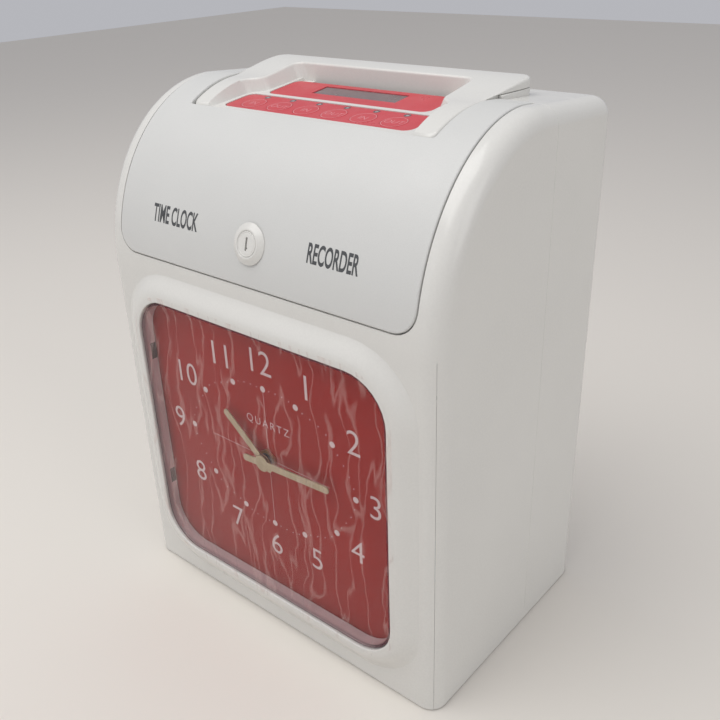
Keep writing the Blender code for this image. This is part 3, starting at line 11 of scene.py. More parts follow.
import bmesh
import bpy
from bpy.props import FloatProperty, FloatVectorProperty, IntProperty, PointerProperty, StringProperty
from mathutils import Matrix, Vector, noise


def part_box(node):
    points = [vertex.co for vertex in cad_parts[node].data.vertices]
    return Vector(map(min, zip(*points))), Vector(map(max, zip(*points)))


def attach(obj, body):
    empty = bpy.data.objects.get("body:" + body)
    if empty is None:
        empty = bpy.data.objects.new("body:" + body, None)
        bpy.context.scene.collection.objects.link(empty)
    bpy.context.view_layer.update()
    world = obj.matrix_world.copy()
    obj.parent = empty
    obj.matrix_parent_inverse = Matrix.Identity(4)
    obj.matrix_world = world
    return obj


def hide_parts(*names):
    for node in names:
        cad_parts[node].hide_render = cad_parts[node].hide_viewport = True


bl_info = {
    "name": "Punch time clock",
    "version": (1, 0, 0),
    "blender": (4, 5, 0),
    "location": "3D View > Sidebar > Time clock",
    "description": "Builds the shells, dial, keypad, lock and inner finish of a punch time clock",
    "category": "Object",
}

MM = 0.001
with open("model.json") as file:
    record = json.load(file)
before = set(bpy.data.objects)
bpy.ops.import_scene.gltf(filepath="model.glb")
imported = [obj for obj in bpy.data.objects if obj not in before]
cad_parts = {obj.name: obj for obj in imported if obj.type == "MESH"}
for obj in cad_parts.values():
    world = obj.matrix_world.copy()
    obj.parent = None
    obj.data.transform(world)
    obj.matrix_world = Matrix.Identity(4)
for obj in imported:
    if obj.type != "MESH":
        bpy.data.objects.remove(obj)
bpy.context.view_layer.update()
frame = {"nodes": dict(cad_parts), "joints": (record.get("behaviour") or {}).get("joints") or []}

# Places read from the mechanical model
FRONT_LOW, FRONT_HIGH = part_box("front_case")
REAR_LOW, REAR_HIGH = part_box("rear_cover")
LID_LOW, LID_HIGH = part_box("front_lid")
COLLAR_LOW, COLLAR_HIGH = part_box("card_collar")
LENS_LOW, LENS_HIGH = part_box("window_lens")
DIAL_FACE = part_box("dial_plate")[0].y
STRIP_LOW, STRIP_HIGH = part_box("keypad_overlay")
JOINTS = {found["name"]: found for found in frame["joints"]}
HALF = FRONT_HIGH.x
RIM_Y = FRONT_LOW.y
REAR_Y = REAR_HIGH.y
PARTING_Y = (FRONT_HIGH.y + REAR_LOW.y) / 2
TOP_Z = FRONT_HIGH.z
BOTTOM_Z = FRONT_LOW.z
HUB = Vector(JOINTS["minute_turn"]["pos_m"])
HINGE = Vector(JOINTS["lid_hinge"]["pos_m"])
LOCK = Vector(JOINTS["lock_turn"]["pos_m"])
LOCK_OUT = -Vector(JOINTS["lock_turn"]["axis"]).normalized()
PRESS = Vector(JOINTS["key_in_1_press"]["axis"])
TRAY_TILT = atan2(PRESS.y, -PRESS.z)
KEYS = ("in_1", "out_1", "in_2", "out_2", "in_3", "out_3")
SEAM_GAP = 0.3 * MM
PARTING_GAP = 0.06 * MM
CLIP_ROWS = (42 * MM, 125.5 * MM)
KEY_V = 8.4 * MM
LAMP_V = 18.4 * MM
LCD_V = 38.4 * MM
WORD_UP = 24 * MM
INK = 0.04 * MM
NUMERAL_QUARTER = ((0, 56.5), (30.5, 52), (59.5, 32), (72, 0))

# Sizes that the shells share with the mechanical model
LENS_FIT = 0.4 * MM
CLIP_REACH = 2.6 * MM
WINDOW_HALF = LENS_HIGH.x - CLIP_REACH
WINDOW_LOW = LENS_LOW.z - LENS_FIT
WINDOW_TALL = (LENS_HIGH.z - LENS_LOW.z) / 2 + LENS_FIT
WINDOW_Z = WINDOW_LOW + WINDOW_TALL
STRIP_THICK = 1.2 * MM
KEYPAD_DEEP = (STRIP_HIGH.y - STRIP_LOW.y - STRIP_THICK * sin(TRAY_TILT)) / cos(TRAY_TILT)
TRAY_Y = STRIP_LOW.y
TRAY_Z = STRIP_HIGH.z - KEYPAD_DEEP * sin(TRAY_TILT)
TRAY = Matrix.Translation((0, TRAY_Y, TRAY_Z)) @ Matrix.Rotation(TRAY_TILT, 4, "X")


def length(name, value, text):
    return FloatProperty(
        name=name, description=text, default=value, min=0.0, unit="LENGTH", precision=5
    )


def colour(name, value, text):
    return FloatVectorProperty(
        name=name, description=text, default=value, min=0.0, max=1.0, size=3, subtype="COLOR"
    )


class ClockSizes(bpy.types.PropertyGroup):
    """Sizes of the clock's shells and printed details"""

    bezel_proud: length("Bezel proud", 5.5 * MM, "How far the bezel swells out of the front")
    bezel_reach: length("Bezel reach", 15.5 * MM, "How far the swell spreads round the window")
    arch_rise: length("Arch rise", 90 * MM, "Height of the arch above its start")
    parting_back: length("Parting back", 11 * MM, "Parting line behind the arch's highest line")
    rear_drop: length("Rear drop", 4 * MM, "Fall of the top from the arch to the back")
    edge_radius: length("Edge radius", 9 * MM, "Radius along the side edges")
    rear_radius: length("Rear radius", 10 * MM, "Radius of the top rear corner")
    wall: length("Wall", 2.6 * MM, "Wall of the two shells")
    seam_round: length("Seam round", 0.45 * MM, "Rounding along the parting line")
    window_radius: length("Window radius", 23 * MM, "Corner radius of the window")
    well_wall: length("Well wall", 2.2 * MM, "Wall round the window's well")
    lid_thick: length("Lid thickness", 2.4 * MM, "Thickness of the lid")
    lid_proud: length("Lid proud", 0.5 * MM, "Lid above the shell's surface")
    lid_line: length("Lid line", 0.7 * MM, "Gap round the lid")
    lid_radius: length("Lid radius", 12 * MM, "Radius of the lid's lower corners")
    ledge_depth: length("Ledge depth", 3 * MM, "Depth of the seat under the lid")
    ledge_width: length("Ledge width", 6 * MM, "Width of the seat under the lid")
    collar_front_half: length("Collar front half", 76.5 * MM, "Half width of the collar's front")
    collar_back_half: length("Collar back half", 79.2 * MM, "Half width of the collar's back")
    collar_rise: FloatProperty(name="Collar rise", description="Slope up to the cap", default=0.15)
    collar_corner: length("Collar corner", 8 * MM, "Radius of the cap's rear corners")
    collar_round: length("Collar round", 1.6 * MM, "Rounding of the collar's outer edges")
    tray_flare: FloatProperty(
        name="Tray flare", default=0.5, min=0.0, max=1.0, description="Lean of the tray's walls"
    )
    recess_round: length("Recess round", 1.1 * MM, "Rounding of the tray's upper edges")
    numeral_height: length("Numeral height", 13.3 * MM, "Height of the dial's numerals")
    hour_dot: length("Hour dot", 1.75 * MM, "Radius of the dots at the hours")
    minute_dot: length("Minute dot", 0.32 * MM, "Radius of the dots at the minutes")
    key_radius: length("Key radius", 6.7 * MM, "Radius of the keys' faces")
    dial_word: StringProperty(name="Dial word", description="Generic word on the dial", default="QUARTZ")
    left_word: StringProperty(name="Left word", description="Word on the lid", default="TIME CLOCK")
    right_word: StringProperty(name="Right word", description="Word on the lid", default="RECORDER")
    round_steps: IntProperty(name="Round steps", description="Steps in a quarter turn", default=8, min=3)
    arch_steps: IntProperty(name="Arch steps", description="Steps over the arch", default=40, min=8)


class ClockColours(bpy.types.PropertyGroup):
    """Colours of the clock's finishes"""

    case: colour("Case", (0.735, 0.725, 0.690), "Glossy moulded shells")
    lid: colour("Lid", (0.675, 0.675, 0.655), "Finely textured lid")
    dial: colour("Dial", (0.33, 0.015, 0.012), "Printed dial")
    numerals: colour("Numerals", (0.71, 0.55, 0.55), "Print on the dial")
    strip: colour("Strip", (0.60, 0.035, 0.050), "Film of the keypad and display")
    strip_print: colour("Strip print", (0.80, 0.36, 0.38), "Rings and words on the keys")
    hands: colour("Hands", (0.55, 0.46, 0.33), "Champagne coloured hands")
    # Painted shade: the dark maroon given to the clear lens's edge, not a colour of the plastic.
    lens_edge: colour("Lens edge", (0.10, 0.012, 0.030), "Edge of the clear lens")
    lettering: colour("Lettering", (0.075, 0.078, 0.082), "Words on the lid")
    rubber: colour("Rubber", (0.022, 0.022, 0.023), "Feet, rollers and belt")
    steel: colour("Steel", (0.62, 0.63, 0.65), "Zinc plated parts")
    brass: colour("Brass", (0.72, 0.53, 0.24), "Nut of the movement")
    black: colour("Black", (0.028, 0.028, 0.030), "Black moulded parts")
    motor: colour("Motor", (0.20, 0.21, 0.23), "Painted motor cans")
    board: colour("Board", (0.012, 0.12, 0.045), "Solder mask of the boards")
    cell: colour("Cell", (0.08, 0.22, 0.42), "Sleeve of the battery pack")
    ink: colour("Ink", (0.016, 0.015, 0.040), "Inked ribbon")


def sizes():
    return bpy.context.scene.clock_sizes


def colours():
    return bpy.context.scene.clock_colours


# Finishes


class Finish:
    """A material whose colour, roughness and relief come from procedural patterns."""

    def __init__(self, name, base, roughness, metallic=0.0):
        self.material = bpy.data.materials.new(name)
        self.material.use_nodes = True
        self.tree = self.material.node_tree
        self.shader = self.tree.nodes["Principled BSDF"]
        self.shader.inputs["Base Color"].default_value = (*base, 1.0)
        self.shader.inputs["Roughness"].default_value = roughness
        self.shader.inputs["Metallic"].default_value = metallic
        self.material.diffuse_color = (*base, 1.0)
        self.base = base
        self.relief = None
        self.place = self.node("ShaderNodeTexCoord").outputs["Object"]

    def node(self, kind, **settings):
        made = self.tree.nodes.new(kind)
        for name, value in settings.items():
            if name in made.inputs:
                made.inputs[name].default_value = value
            else:
                setattr(made, name, value)
        return made

    def link(self, out, into):
        self.tree.links.new(out, into)

    def stretched(self, scale):
        """Object coordinates stretched by a different amount along each axis."""
        mapping = self.node("ShaderNodeMapping")
        mapping.inputs["Scale"].default_value = scale
        self.link(self.place, mapping.inputs["Vector"])
        return mapping.outputs["Vector"]

    def cloud(self, scale, detail=2.0, where=None):
        made = self.node("ShaderNodeTexNoise", Scale=scale, Detail=detail)
        self.link(where or self.place, made.inputs["Vector"])
        return made.outputs["Fac"]

    def between(self, pattern, low, high, at=(0.3, 0.7)):
        """A pattern's values spread over a range."""
        made = self.node("ShaderNodeMapRange", clamp=True)
        for name, value in zip(("From Min", "From Max", "To Min", "To Max"), (*at, low, high)):
            made.inputs[name].default_value = value
        self.link(pattern, made.inputs["Value"])
        return made.outputs["Result"]

    def tint(self, pattern, other, amount=1.0, at=(0.35, 0.65)):
        """Mixes another colour into the base colour where the pattern is high."""
        mix = self.node("ShaderNodeMix", data_type="RGBA")
        current = self.shader.inputs["Base Color"]
        if current.is_linked:
            self.link(current.links[0].from_socket, mix.inputs[6])
        else:
            mix.inputs[6].default_value = current.default_value[:]
        mix.inputs[7].default_value = (*other, 1.0)
        self.link(self.between(pattern, 0.0, amount, at), mix.inputs[0])
        self.link(mix.outputs[2], current)

    def glancing(self, least):
        """What a clear surface mirrors: least face on, and all of the light at a grazing angle."""
        weight = self.node("ShaderNodeLayerWeight", Blend=0.5)
        power = self.node("ShaderNodeMath", operation="POWER")
        power.inputs[1].default_value = 5.0
        self.link(weight.outputs["Facing"], power.inputs[0])
        return self.between(power.outputs[0], least, 1.0, (0.0, 1.0))

    def gloss(self, pattern, low, high):
        self.link(self.between(pattern, low, high), self.shader.inputs["Roughness"])

    def bump(self, pattern, height, strength=1.0):
        """Adds relief of a given height in metres on top of what is there."""
        made = self.node("ShaderNodeBump", Strength=strength, Distance=height)
        self.link(pattern, made.inputs["Height"])
        if self.relief:
            self.link(self.relief, made.inputs["Normal"])
        self.relief = made.outputs["Normal"]
        self.link(self.relief, self.shader.inputs["Normal"])


def darker(base, share):
    return tuple(c * share for c in base)


def case_finish():
    made = Finish("case_plastic", colours().case, 0.2)
    made.tint(made.cloud(14, 4), darker(made.base, 0.955), 0.8)
    made.tint(made.cloud(900, 2), darker(made.base, 1.03), 0.5)
    made.gloss(made.cloud(40, 5), 0.15, 0.27)
    made.bump(made.cloud(260, 2), 0.00003, 0.35)
    made.bump(made.cloud(1500, 2), 0.00001, 0.3)
    return made.material


def lid_finish():
    made = Finish("lid_plastic", colours().lid, 0.42)
    made.tint(made.cloud(16, 4), darker(made.base, 0.96), 0.8)
    made.tint(made.cloud(2600, 1), darker(made.base, 0.93), 0.6)
    made.gloss(made.cloud(60, 4), 0.36, 0.50)
    made.bump(made.cloud(2400, 2), 0.00004, 0.55)
    made.bump(made.cloud(300, 2), 0.00003, 0.2)
    return made.material


def plain_plastic(name, base, roughness, grain=1800, height=0.00003):
    made = Finish(name, base, roughness)
    made.tint(made.cloud(30, 4), darker(base, 0.88), 0.7)
    made.gloss(made.cloud(90, 4), roughness * 0.85, roughness * 1.2)
    made.bump(made.cloud(grain, 2), height, 0.6)
    return made.material


def dial_finish():
    made = Finish("dial_print_red", colours().dial, 0.42)
    made.shader.inputs["Specular IOR Level"].default_value = 0.12
    made.tint(made.cloud(22, 4), darker(made.base, 0.86), 0.8)
    made.tint(made.cloud(3200, 2), (0.43, 0.035, 0.03), 0.35)
    made.gloss(made.cloud(55, 3), 0.36, 0.5)
    made.bump(made.cloud(3000, 2), 0.00001, 0.5)
    return made.material


def ink_finish(name, base):
    made = Finish(name, base, 0.45)
    made.tint(made.cloud(900, 3), darker(base, 0.82), 0.6)
    made.gloss(made.cloud(120, 3), 0.38, 0.55)
    return made.material


def strip_finish():
    made = Finish("strip_film", colours().strip, 0.34)
    made.tint(made.cloud(34, 4), darker(made.base, 0.88), 0.8)
    made.tint(made.cloud(2800, 2), (0.72, 0.10, 0.12), 0.35)
    made.gloss(made.cloud(70, 4), 0.27, 0.42)
    made.bump(made.cloud(2200, 2), 0.00002, 0.5)
    return made.material


def brushed(name, base, roughness, grain, wear=0.8):
    """Metal with fine lines along the axis whose scale is the smallest of the three."""
    made = Finish(name, base, roughness, 1.0)
    lines = made.cloud(1.0, 3, made.stretched(grain))
    made.tint(lines, darker(base, wear), 0.7)
    made.tint(made.cloud(45, 4), darker(base, 0.86), 0.6)
    made.gloss(lines, roughness * 0.8, roughness * 1.35)
    made.bump(lines, 0.00002, 0.5)
    return made.material


def board_finish():
    made = Finish("board_mask", colours().board, 0.36)
    tracks = made.node("ShaderNodeTexBrick", Scale=60.0)
    tracks.inputs["Mortar Size"].default_value = 0.05
    tracks.inputs["Color1"].default_value = (1, 1, 1, 1)
    tracks.inputs["Color2"].default_value = (0.7, 0.7, 0.7, 1)
    tracks.inputs["Mortar"].default_value = (0, 0, 0, 1)
    made.link(made.stretched((1.0, 0.0, 2.6)), tracks.inputs["Vector"])
    made.tint(tracks.outputs["Color"], darker(made.base, 0.6), 0.8, (0.2, 0.8))
    made.tint(made.cloud(500, 3), (0.05, 0.30, 0.12), 0.4)
    made.bump(tracks.outputs["Color"], 0.00004, 0.6)
    return made.material


def ribbon_finish():
    made = Finish("ribbon_weave", colours().ink, 0.9)
    weave = made.node("ShaderNodeTexWave", Scale=900.0, wave_type="BANDS", bands_direction="X")
    made.link(made.place, weave.inputs["Vector"])
    cross = made.node("ShaderNodeTexWave", Scale=900.0, wave_type="BANDS", bands_direction="Z")
    made.link(made.place, cross.inputs["Vector"])
    made.tint(weave.outputs["Fac"], darker(made.base, 2.4), 0.6)
    made.bump(weave.outputs["Fac"], 0.00005, 0.8)
    made.bump(cross.outputs["Fac"], 0.00005, 0.8)
    return made.material


def rubber_finish():
    made = Finish("rubber_matte", colours().rubber, 0.82)
    made.tint(made.cloud(60, 5), (0.05, 0.05, 0.05), 0.6)
    made.gloss(made.cloud(200, 4), 0.7, 0.92)
    made.bump(made.cloud(1800, 3), 0.00004, 0.8)
    return made.material


def clear_sheet(name, base, mirror, ripple=None):
    """A thin clear sheet: it mirrors what Fresnel gives at its angle and lets the rest through."""
    made = Finish(name, base, 0.06, mirror)
    facing = made.glancing(0.012)
    made.gloss(made.cloud(50, 4), 0.03, 0.09)
    made.bump(made.cloud(30, 2), 0.0002, 0.1)
    if ripple:
        ripple(made, facing)
    else:
        made.link(facing, made.shader.inputs["Alpha"])
    made.material.surface_render_method = "BLENDED"
    return made.material


def film_finish():
    """Thin protective film: clear where it clings, with pale pinkish streaks of painted reflection where
    it has lifted off the lens.
    """

    def ripple(made, facing):
        warp = made.node("ShaderNodeTexNoise", Scale=26.0, Detail=3.0)
        made.link(made.place, warp.inputs["Vector"])
        shift = made.node("ShaderNodeVectorMath", operation="MULTIPLY_ADD")
        made.link(warp.outputs["Color"], shift.inputs[0])
        shift.inputs[1].default_value = (0.022, 0.0, 0.012)
        made.link(made.place, shift.inputs[2])
        mapping = made.node("ShaderNodeMapping")
        mapping.inputs["Scale"].default_value = (95.0, 1.0, 15.0)
        made.link(shift.outputs[0], mapping.inputs["Vector"])
        streaks = made.node("ShaderNodeTexNoise", Scale=1.0, Detail=2.5, Roughness=0.4)
        made.link(mapping.outputs["Vector"], streaks.inputs["Vector"])
        middle = made.node("ShaderNodeMath", operation="SUBTRACT")
        made.link(streaks.outputs["Fac"], middle.inputs[0])
        middle.inputs[1].default_value = 0.5
        ridge = made.node("ShaderNodeMath", operation="ABSOLUTE")
        made.link(middle.outputs[0], ridge.inputs[0])
        # Painted reflection: pale pinkish streaks along the film's wrinkles, made opaque through the
        # alpha.
        painted_streak_reflection = made.between(ridge.outputs[0], 0.17, 0.0, (0.004, 0.034))
        fresnel_and_painted_streaks = made.node("ShaderNodeMath", operation="MULTIPLY_ADD")
        made.link(facing, fresnel_and_painted_streaks.inputs[0])
        fresnel_and_painted_streaks.inputs[1].default_value = 0.3
        made.link(painted_streak_reflection, fresnel_and_painted_streaks.inputs[2])
        made.link(fresnel_and_painted_streaks.outputs[0], made.shader.inputs["Alpha"])
        made.bump(streaks.outputs["Fac"], 0.0006, 0.5)

    return clear_sheet("protective_film", (0.86, 0.62, 0.57), 0.0, ripple)


def lens_edge_finish():
    # Painted shade: a dark maroon, partly see-through colour on the clear lens's rounded front edge.
    made = Finish("lens_edge", colours().lens_edge, 0.18)
    made.tint(made.cloud(45, 3), (0.20, 0.03, 0.055), 0.7)
    made.shader.inputs["Alpha"].default_value = 0.72
    made.material.surface_render_method = "BLENDED"
    return made.material


def display_finish():
    made = Finish("display_glass", (0.19, 0.135, 0.14), 0.3)
    cells = made.node("ShaderNodeTexBrick", Scale=250.0, offset=0.0)
    cells.inputs["Mortar Size"].default_value = 0.16
    cells.inputs["Color1"].default_value = (1, 1, 1, 1)
    cells.inputs["Color2"].default_value = (0.6, 0.6, 0.6, 1)
    cells.inputs["Mortar"].default_value = (0, 0, 0, 1)
    made.link(made.place, cells.inputs["Vector"])
    made.tint(cells.outputs["Color"], (0.26, 0.19, 0.195), 0.6, (0.2, 0.8))
    made.tint(made.cloud(70, 3), (0.13, 0.095, 0.10), 0.5)
    made.gloss(made.cloud(90, 3), 0.16, 0.3)
    return made.material


FINISHES = {}


def finish(name):
    """The named finish, made when it is first asked for."""
    tones = colours()
    makers = {
        "case": case_finish,
        "lid": lid_finish,
        "carrier": lambda: plain_plastic("carrier_plastic", (0.70, 0.70, 0.68), 0.4),
        "dial": dial_finish,
        "numerals": lambda: ink_finish("dial_ink", tones.numerals),
        "lettering": lambda: ink_finish("lid_ink", tones.lettering),
        "strip": strip_finish,
        "strip_print": lambda: ink_finish("strip_ink", tones.strip_print),
        "hands": lambda: brushed("hand_metal", tones.hands, 0.36, (900, 900, 60), 0.85),
        "steel": lambda: brushed("zinc_steel", tones.steel, 0.34, (70, 800, 800)),
        "brass": lambda: brushed("turned_brass", tones.brass, 0.3, (700, 200, 700)),
        "motor": lambda: plain_plastic("motor_paint", tones.motor, 0.38, 1200),
        "black": lambda: plain_plastic("black_plastic", tones.black, 0.46, 1500, 0.00005),
        # Painted shade: the near black sheet put down the lock's keyway.
        "dark": lambda: plain_plastic("keyway_painted_shade", (0.015, 0.015, 0.016), 0.7),
        "rubber": rubber_finish,
        "board": board_finish,
        "cell": lambda: plain_plastic("cell_sleeve", tones.cell, 0.32, 400),
        "ink": ribbon_finish,
        "lens": lambda: clear_sheet("clear_lens", (0.92, 0.92, 0.94), 1.0),
        # Painted shade on the clear lens's edge.
        "lens_edge": lens_edge_finish,
        "film": film_finish,
        # Painted reflection: the clear skirt is coloured the pink of the red dial that it reflects.
        "skirt_painted_reflection": lambda: plain_plastic("skirt_painted_reflection", (0.60, 0.46, 0.47), 0.2, 200, 0.00001),
        # Painted shadow: the clip slots' shade as seen through the lens's skirt.
        "slot_shade": lambda: plain_plastic("slot_shade", (0.075, 0.06, 0.06), 0.5, 900),
        "lamp": lambda: plain_plastic("lamp_lens", (0.42, 0.40, 0.40), 0.25, 300),
        "lamp_rim": lambda: plain_plastic("lamp_rim", (0.16, 0.13, 0.14), 0.4, 300),
        "display": display_finish,
    }
    if name not in FINISHES:
        FINISHES[name] = makers[name]()
    return FINISHES[name]


# Shapes


def swung(bm, start, centre, axis, angle, steps):
    """A vertex swung round a centre; returns the vertices it leaves, in order."""
    chain = [bm.verts.new(start)]
    bmesh.ops.spin(bm, geom=chain, cent=centre, axis=axis, angle=angle, steps=steps)
    for _ in range(steps):
        onward = [e.other_vert(chain[-1]) for e in chain[-1].link_edges]
        chain.append([v for v in onward if v not in chain][0])
    return chain


def outward(bm):
    """Merges doubles and turns every face of a closed shape outwards."""
    bmesh.ops.remove_doubles(bm, verts=bm.verts, dist=1e-6)
    bmesh.ops.recalc_face_normals(bm, faces=bm.faces)
    if bm.calc_volume(signed=True) < 0:
        bmesh.ops.reverse_faces(bm, faces=bm.faces)
    return bm


def drawn(bm, face, vector):
    """Extrudes a face into a solid."""
    made = bmesh.ops.extrude_face_region(bm, geom=[face])["geom"]
    bmesh.ops.translate(bm, verts=[g for g in made if isinstance(g, bmesh.types.BMVert)], vec=vector)
    return outward(bm)


def soften(bm, edges, offset, segments=2):
    bmesh.ops.bevel(
        bm,
        geom=list(edges),
        offset=offset,
        segments=segments,
        profile=0.5,
        affect="EDGES",
        clamp_overlap=True,
        material=-1,
    )
    return bm


def sharp_edges(bm, angle=50):
    limit = radians(angle)
    return [e for e in bm.edges if len(e.link_faces) == 2 and e.calc_face_angle(0.0) > limit]


def block(low, high, round_by=0.0):
    bm = bmesh.new()
    bmesh.ops.create_cube(bm, size=1.0)
    bmesh.ops.scale(bm, vec=Vector(high) - Vector(low), verts=bm.verts)
    bmesh.ops.translate(bm, vec=(Vector(low) + Vector(high)) / 2, verts=bm.verts)
    if round_by:
        soften(bm, bm.edges[:], round_by, 3)
    return bm


def rod(start, end, radius, segments=32, round_by=0.0, tip=None):
    """A round bar between two points, or a cone where the tip's radius is given."""
    start, end = Vector(start), Vector(end)
    along = end - start
    bm = bmesh.new()
    bmesh.ops.create_cone(
        bm,
        cap_ends=True,
        segments=segments,
        radius1=radius,
        radius2=radius if tip is None else tip,
        depth=along.length,
    )
    if round_by:
        soften(bm, [e for e in sharp_edges(bm)], round_by, 2)
    turn = Vector((0, 0, 1)).rotation_difference(along).to_matrix().to_4x4()
    bmesh.ops.transform(bm, matrix=Matrix.Translation((start + end) / 2) @ turn, verts=bm.verts)
    return bm


def plate(half_w, half_h, radius, steps=None):
    """A flat rectangle with round corners in the XY plane, as one face."""
    bm = bmesh.new()
    bmesh.ops.create_grid(bm, x_segments=1, y_segments=1, size=1.0)
    bmesh.ops.scale(bm, vec=(half_w, half_h, 1), verts=bm.verts)
    if radius:
        bmesh.ops.bevel(
            bm,
            geom=bm.verts[:],
            offset=radius,
            segments=steps or sizes().round_steps,
            profile=0.5,
            affect="VERTICES",
            material=-1,
        )
    bm.faces.ensure_lookup_table()
    return bm


def slab(half_w, half_h, radius, thick, round_by=0.0, steps=None):
    """A flat plate with round corners; its top face is at Z 0."""
    bm = plate(half_w, half_h, radius, steps)
    drawn(bm, bm.faces[0], (0, 0, -thick))
    if round_by:
        soften(bm, [e for e in sharp_edges(bm) if min(v.co.z for v in e.verts) > -thick / 2], round_by)
    return bm


def turned(profile, segments=64):
    """A solid spun round Z from (radius, height) points; the ends lie on the axis or meet."""
    bm = bmesh.new()
    verts = [bm.verts.new((r, 0, h)) for r, h in profile]
    edges = [bm.edges.new(pair) for pair in zip(verts, verts[1:])]
    if profile[0][0] > 0:
        edges.append(bm.edges.new((verts[-1], verts[0])))
    bmesh.ops.spin(
        bm,
        geom=verts + edges,
        cent=(0, 0, 0),
        axis=(0, 0, 1),
        angle=2 * pi,
        steps=segments,
        use_merge=True,
    )
    return outward(bm)


def moved(bm, matrix):
    bmesh.ops.transform(bm, matrix=matrix, verts=bm.verts)
    return bm


def shift(x, y, z):
    return Matrix.Translation((x, y, z))


def merged(*shapes):
    """Several shapes in one bmesh."""
    whole = bmesh.new()
    mesh = bpy.data.meshes.new("scratch")
    for shape in shapes:
        shape.to_mesh(mesh)
        shape.free()
        whole.from_mesh(mesh)
    bpy.data.meshes.remove(mesh)
    return whole


def slice_off(bm, point, normal):
    """Cuts away what lies on the normal's side of a plane and closes the cut."""
    cut = bmesh.ops.bisect_plane(
        bm,
        geom=bm.verts[:] + bm.edges[:] + bm.faces[:],
        dist=1e-7,
        plane_co=point,
        plane_no=normal,
        clear_outer=True,
    )["geom_cut"]
    rim = [g for g in cut if isinstance(g, bmesh.types.BMEdge)]
    bmesh.ops.holes_fill(bm, edges=rim, sides=0)
    return outward(bm)


def combined(bm, operation, *others):
    """Joins other shapes to a shape, cuts them from it, or keeps only what they share."""
    made = []
    for number, shape in enumerate((bm, *others)):
        mesh = bpy.data.meshes.new(f"scratch_{number}")
        shape.to_mesh(mesh)
        shape.free()
        obj = bpy.data.objects.new(f"scratch_{number}", mesh)
        bpy.context.scene.collection.objects.link(obj)
        made.append(obj)
    for obj in made[1:]:
        modifier = made[0].modifiers.new("Shape", "BOOLEAN")
        modifier.operation = operation
        modifier.object = obj
    bpy.context.view_layer.update()
    graph = bpy.context.evaluated_depsgraph_get()
    result = bmesh.new()
    result.from_mesh(made[0].evaluated_get(graph).data)
    for obj in made:
        mesh = obj.data
        bpy.data.objects.remove(obj)
        bpy.data.meshes.remove(mesh)
    bmesh.ops.remove_doubles(result, verts=result.verts, dist=2e-6)
    return result


def piece(name, bm, material, body, stands_for=(), angle=32, weighted=True):
    """Finishes one named piece: smooth shading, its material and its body."""
    mesh = bpy.data.meshes.new(name)
    bm.to_mesh(mesh)
    bm.free()
    for each in material if isinstance(material, (list, tuple)) else [material]:
        mesh.materials.append(finish(each))
    mesh.shade_smooth()
    mesh.set_sharp_from_angle(angle=radians(angle))
    obj = bpy.data.objects.new(name, mesh)
    bpy.context.scene.collection.objects.link(obj)
    if weighted:
        even = obj.modifiers.new("Even shading", "WEIGHTED_NORMAL")
        even.keep_sharp = True
    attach(obj, body)
    if stands_for:
        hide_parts(*stands_for)
    return obj


def dress(name, material):
    """Gives a piece of the mechanical model its finish."""
    mesh = frame["nodes"][name].data
    mesh.materials.clear()
    mesh.materials.append(finish(material))


def in_tray(bm):
    return moved(bm, TRAY)


# The side profile that the shells, the lid and the collar share


def arch_centre():
    """(y, z, run, rise) of the quarter ellipse over the front."""
    s = sizes()
    y = PARTING_Y - s.parting_back
    return y, TOP_Z - s.arch_rise, y - (RIM_Y + s.bezel_proud), s.arch_rise


def arch_z(y, inset=0.0):
    centre, low, run, rise = arch_centre()
    share = (centre - y) / (run - inset)
    return low + (rise - inset) * sqrt(max(0.0, 1 - share * share))


def top_z(y, inset=0.0):
    s = sizes()
    centre = arch_centre()[0]
    return TOP_Z - inset - s.rear_drop * (y - centre) / (REAR_Y - s.rear_radius - centre)


def arch_chain(bm, x, inset, low_z=None):
    """Vertices over the arch from its start, or from a height on it, to its highest line."""
    centre, low, run, rise = arch_centre()
    start = 0.0 if low_z is None else asin((low_z - low) / (rise - inset))
    first = (x, -cos(start), sin(start))
    chain = swung(bm, first, (0, 0, 0), (1, 0, 0), start - pi / 2, sizes().arch_steps)
    bmesh.ops.scale(bm, vec=(1, run - inset, rise - inset), verts=chain)
    bmesh.ops.translate(bm, vec=(0, centre, low), verts=chain)
    return chain


def profile_chain(bm, x, inset, low_z):
    """Vertices of the whole side profile, from the front's foot over the top to the rear's."""
    s = sizes()
    front = RIM_Y + s.bezel_proud + inset
    chain = [bm.verts.new((x, front, low_z))] + arch_chain(bm, x, inset)
    corner = (x, REAR_Y - s.rear_radius, TOP_Z - s.rear_drop - s.rear_radius)
    start = Vector(corner) + Vector((0, 0, s.rear_radius - inset))
    chain += swung(bm, start, corner, (1, 0, 0), -pi / 2, s.round_steps)
    chain.append(bm.verts.new((x, REAR_Y - inset, low_z)))
    return chain


def ring_edges(bm, chain):
    return [bm.edges.new((a, b)) if bm.edges.get((a, b)) is None else bm.edges.get((a, b))
            for a, b in zip(chain, chain[1:] + chain[:1])]


def soft_case(inset, low_z):
    """The side profile drawn out to the case's width with round side edges."""
    s = sizes()
    bm = bmesh.new()
    radius = s.edge_radius - inset
    flat = HALF - s.edge_radius
    turns = [pi / 2 * k / s.round_steps for k in range(s.round_steps + 1)]
    rings = []
    for side, order in ((-1, turns[::-1]), (1, turns)):
        for t in order:
            x = side * (flat + radius * sin(t))
            rings.append(ring_edges(bm, profile_chain(bm, x, inset + radius * (1 - cos(t)), low_z)))
    for ring, after in zip(rings, rings[1:]):
        bmesh.ops.bridge_loops(bm, edges=ring + after)
    for ring in (rings[0], rings[-1]):
        bmesh.ops.edgeloop_fill(bm, edges=ring)
    return outward(bm)


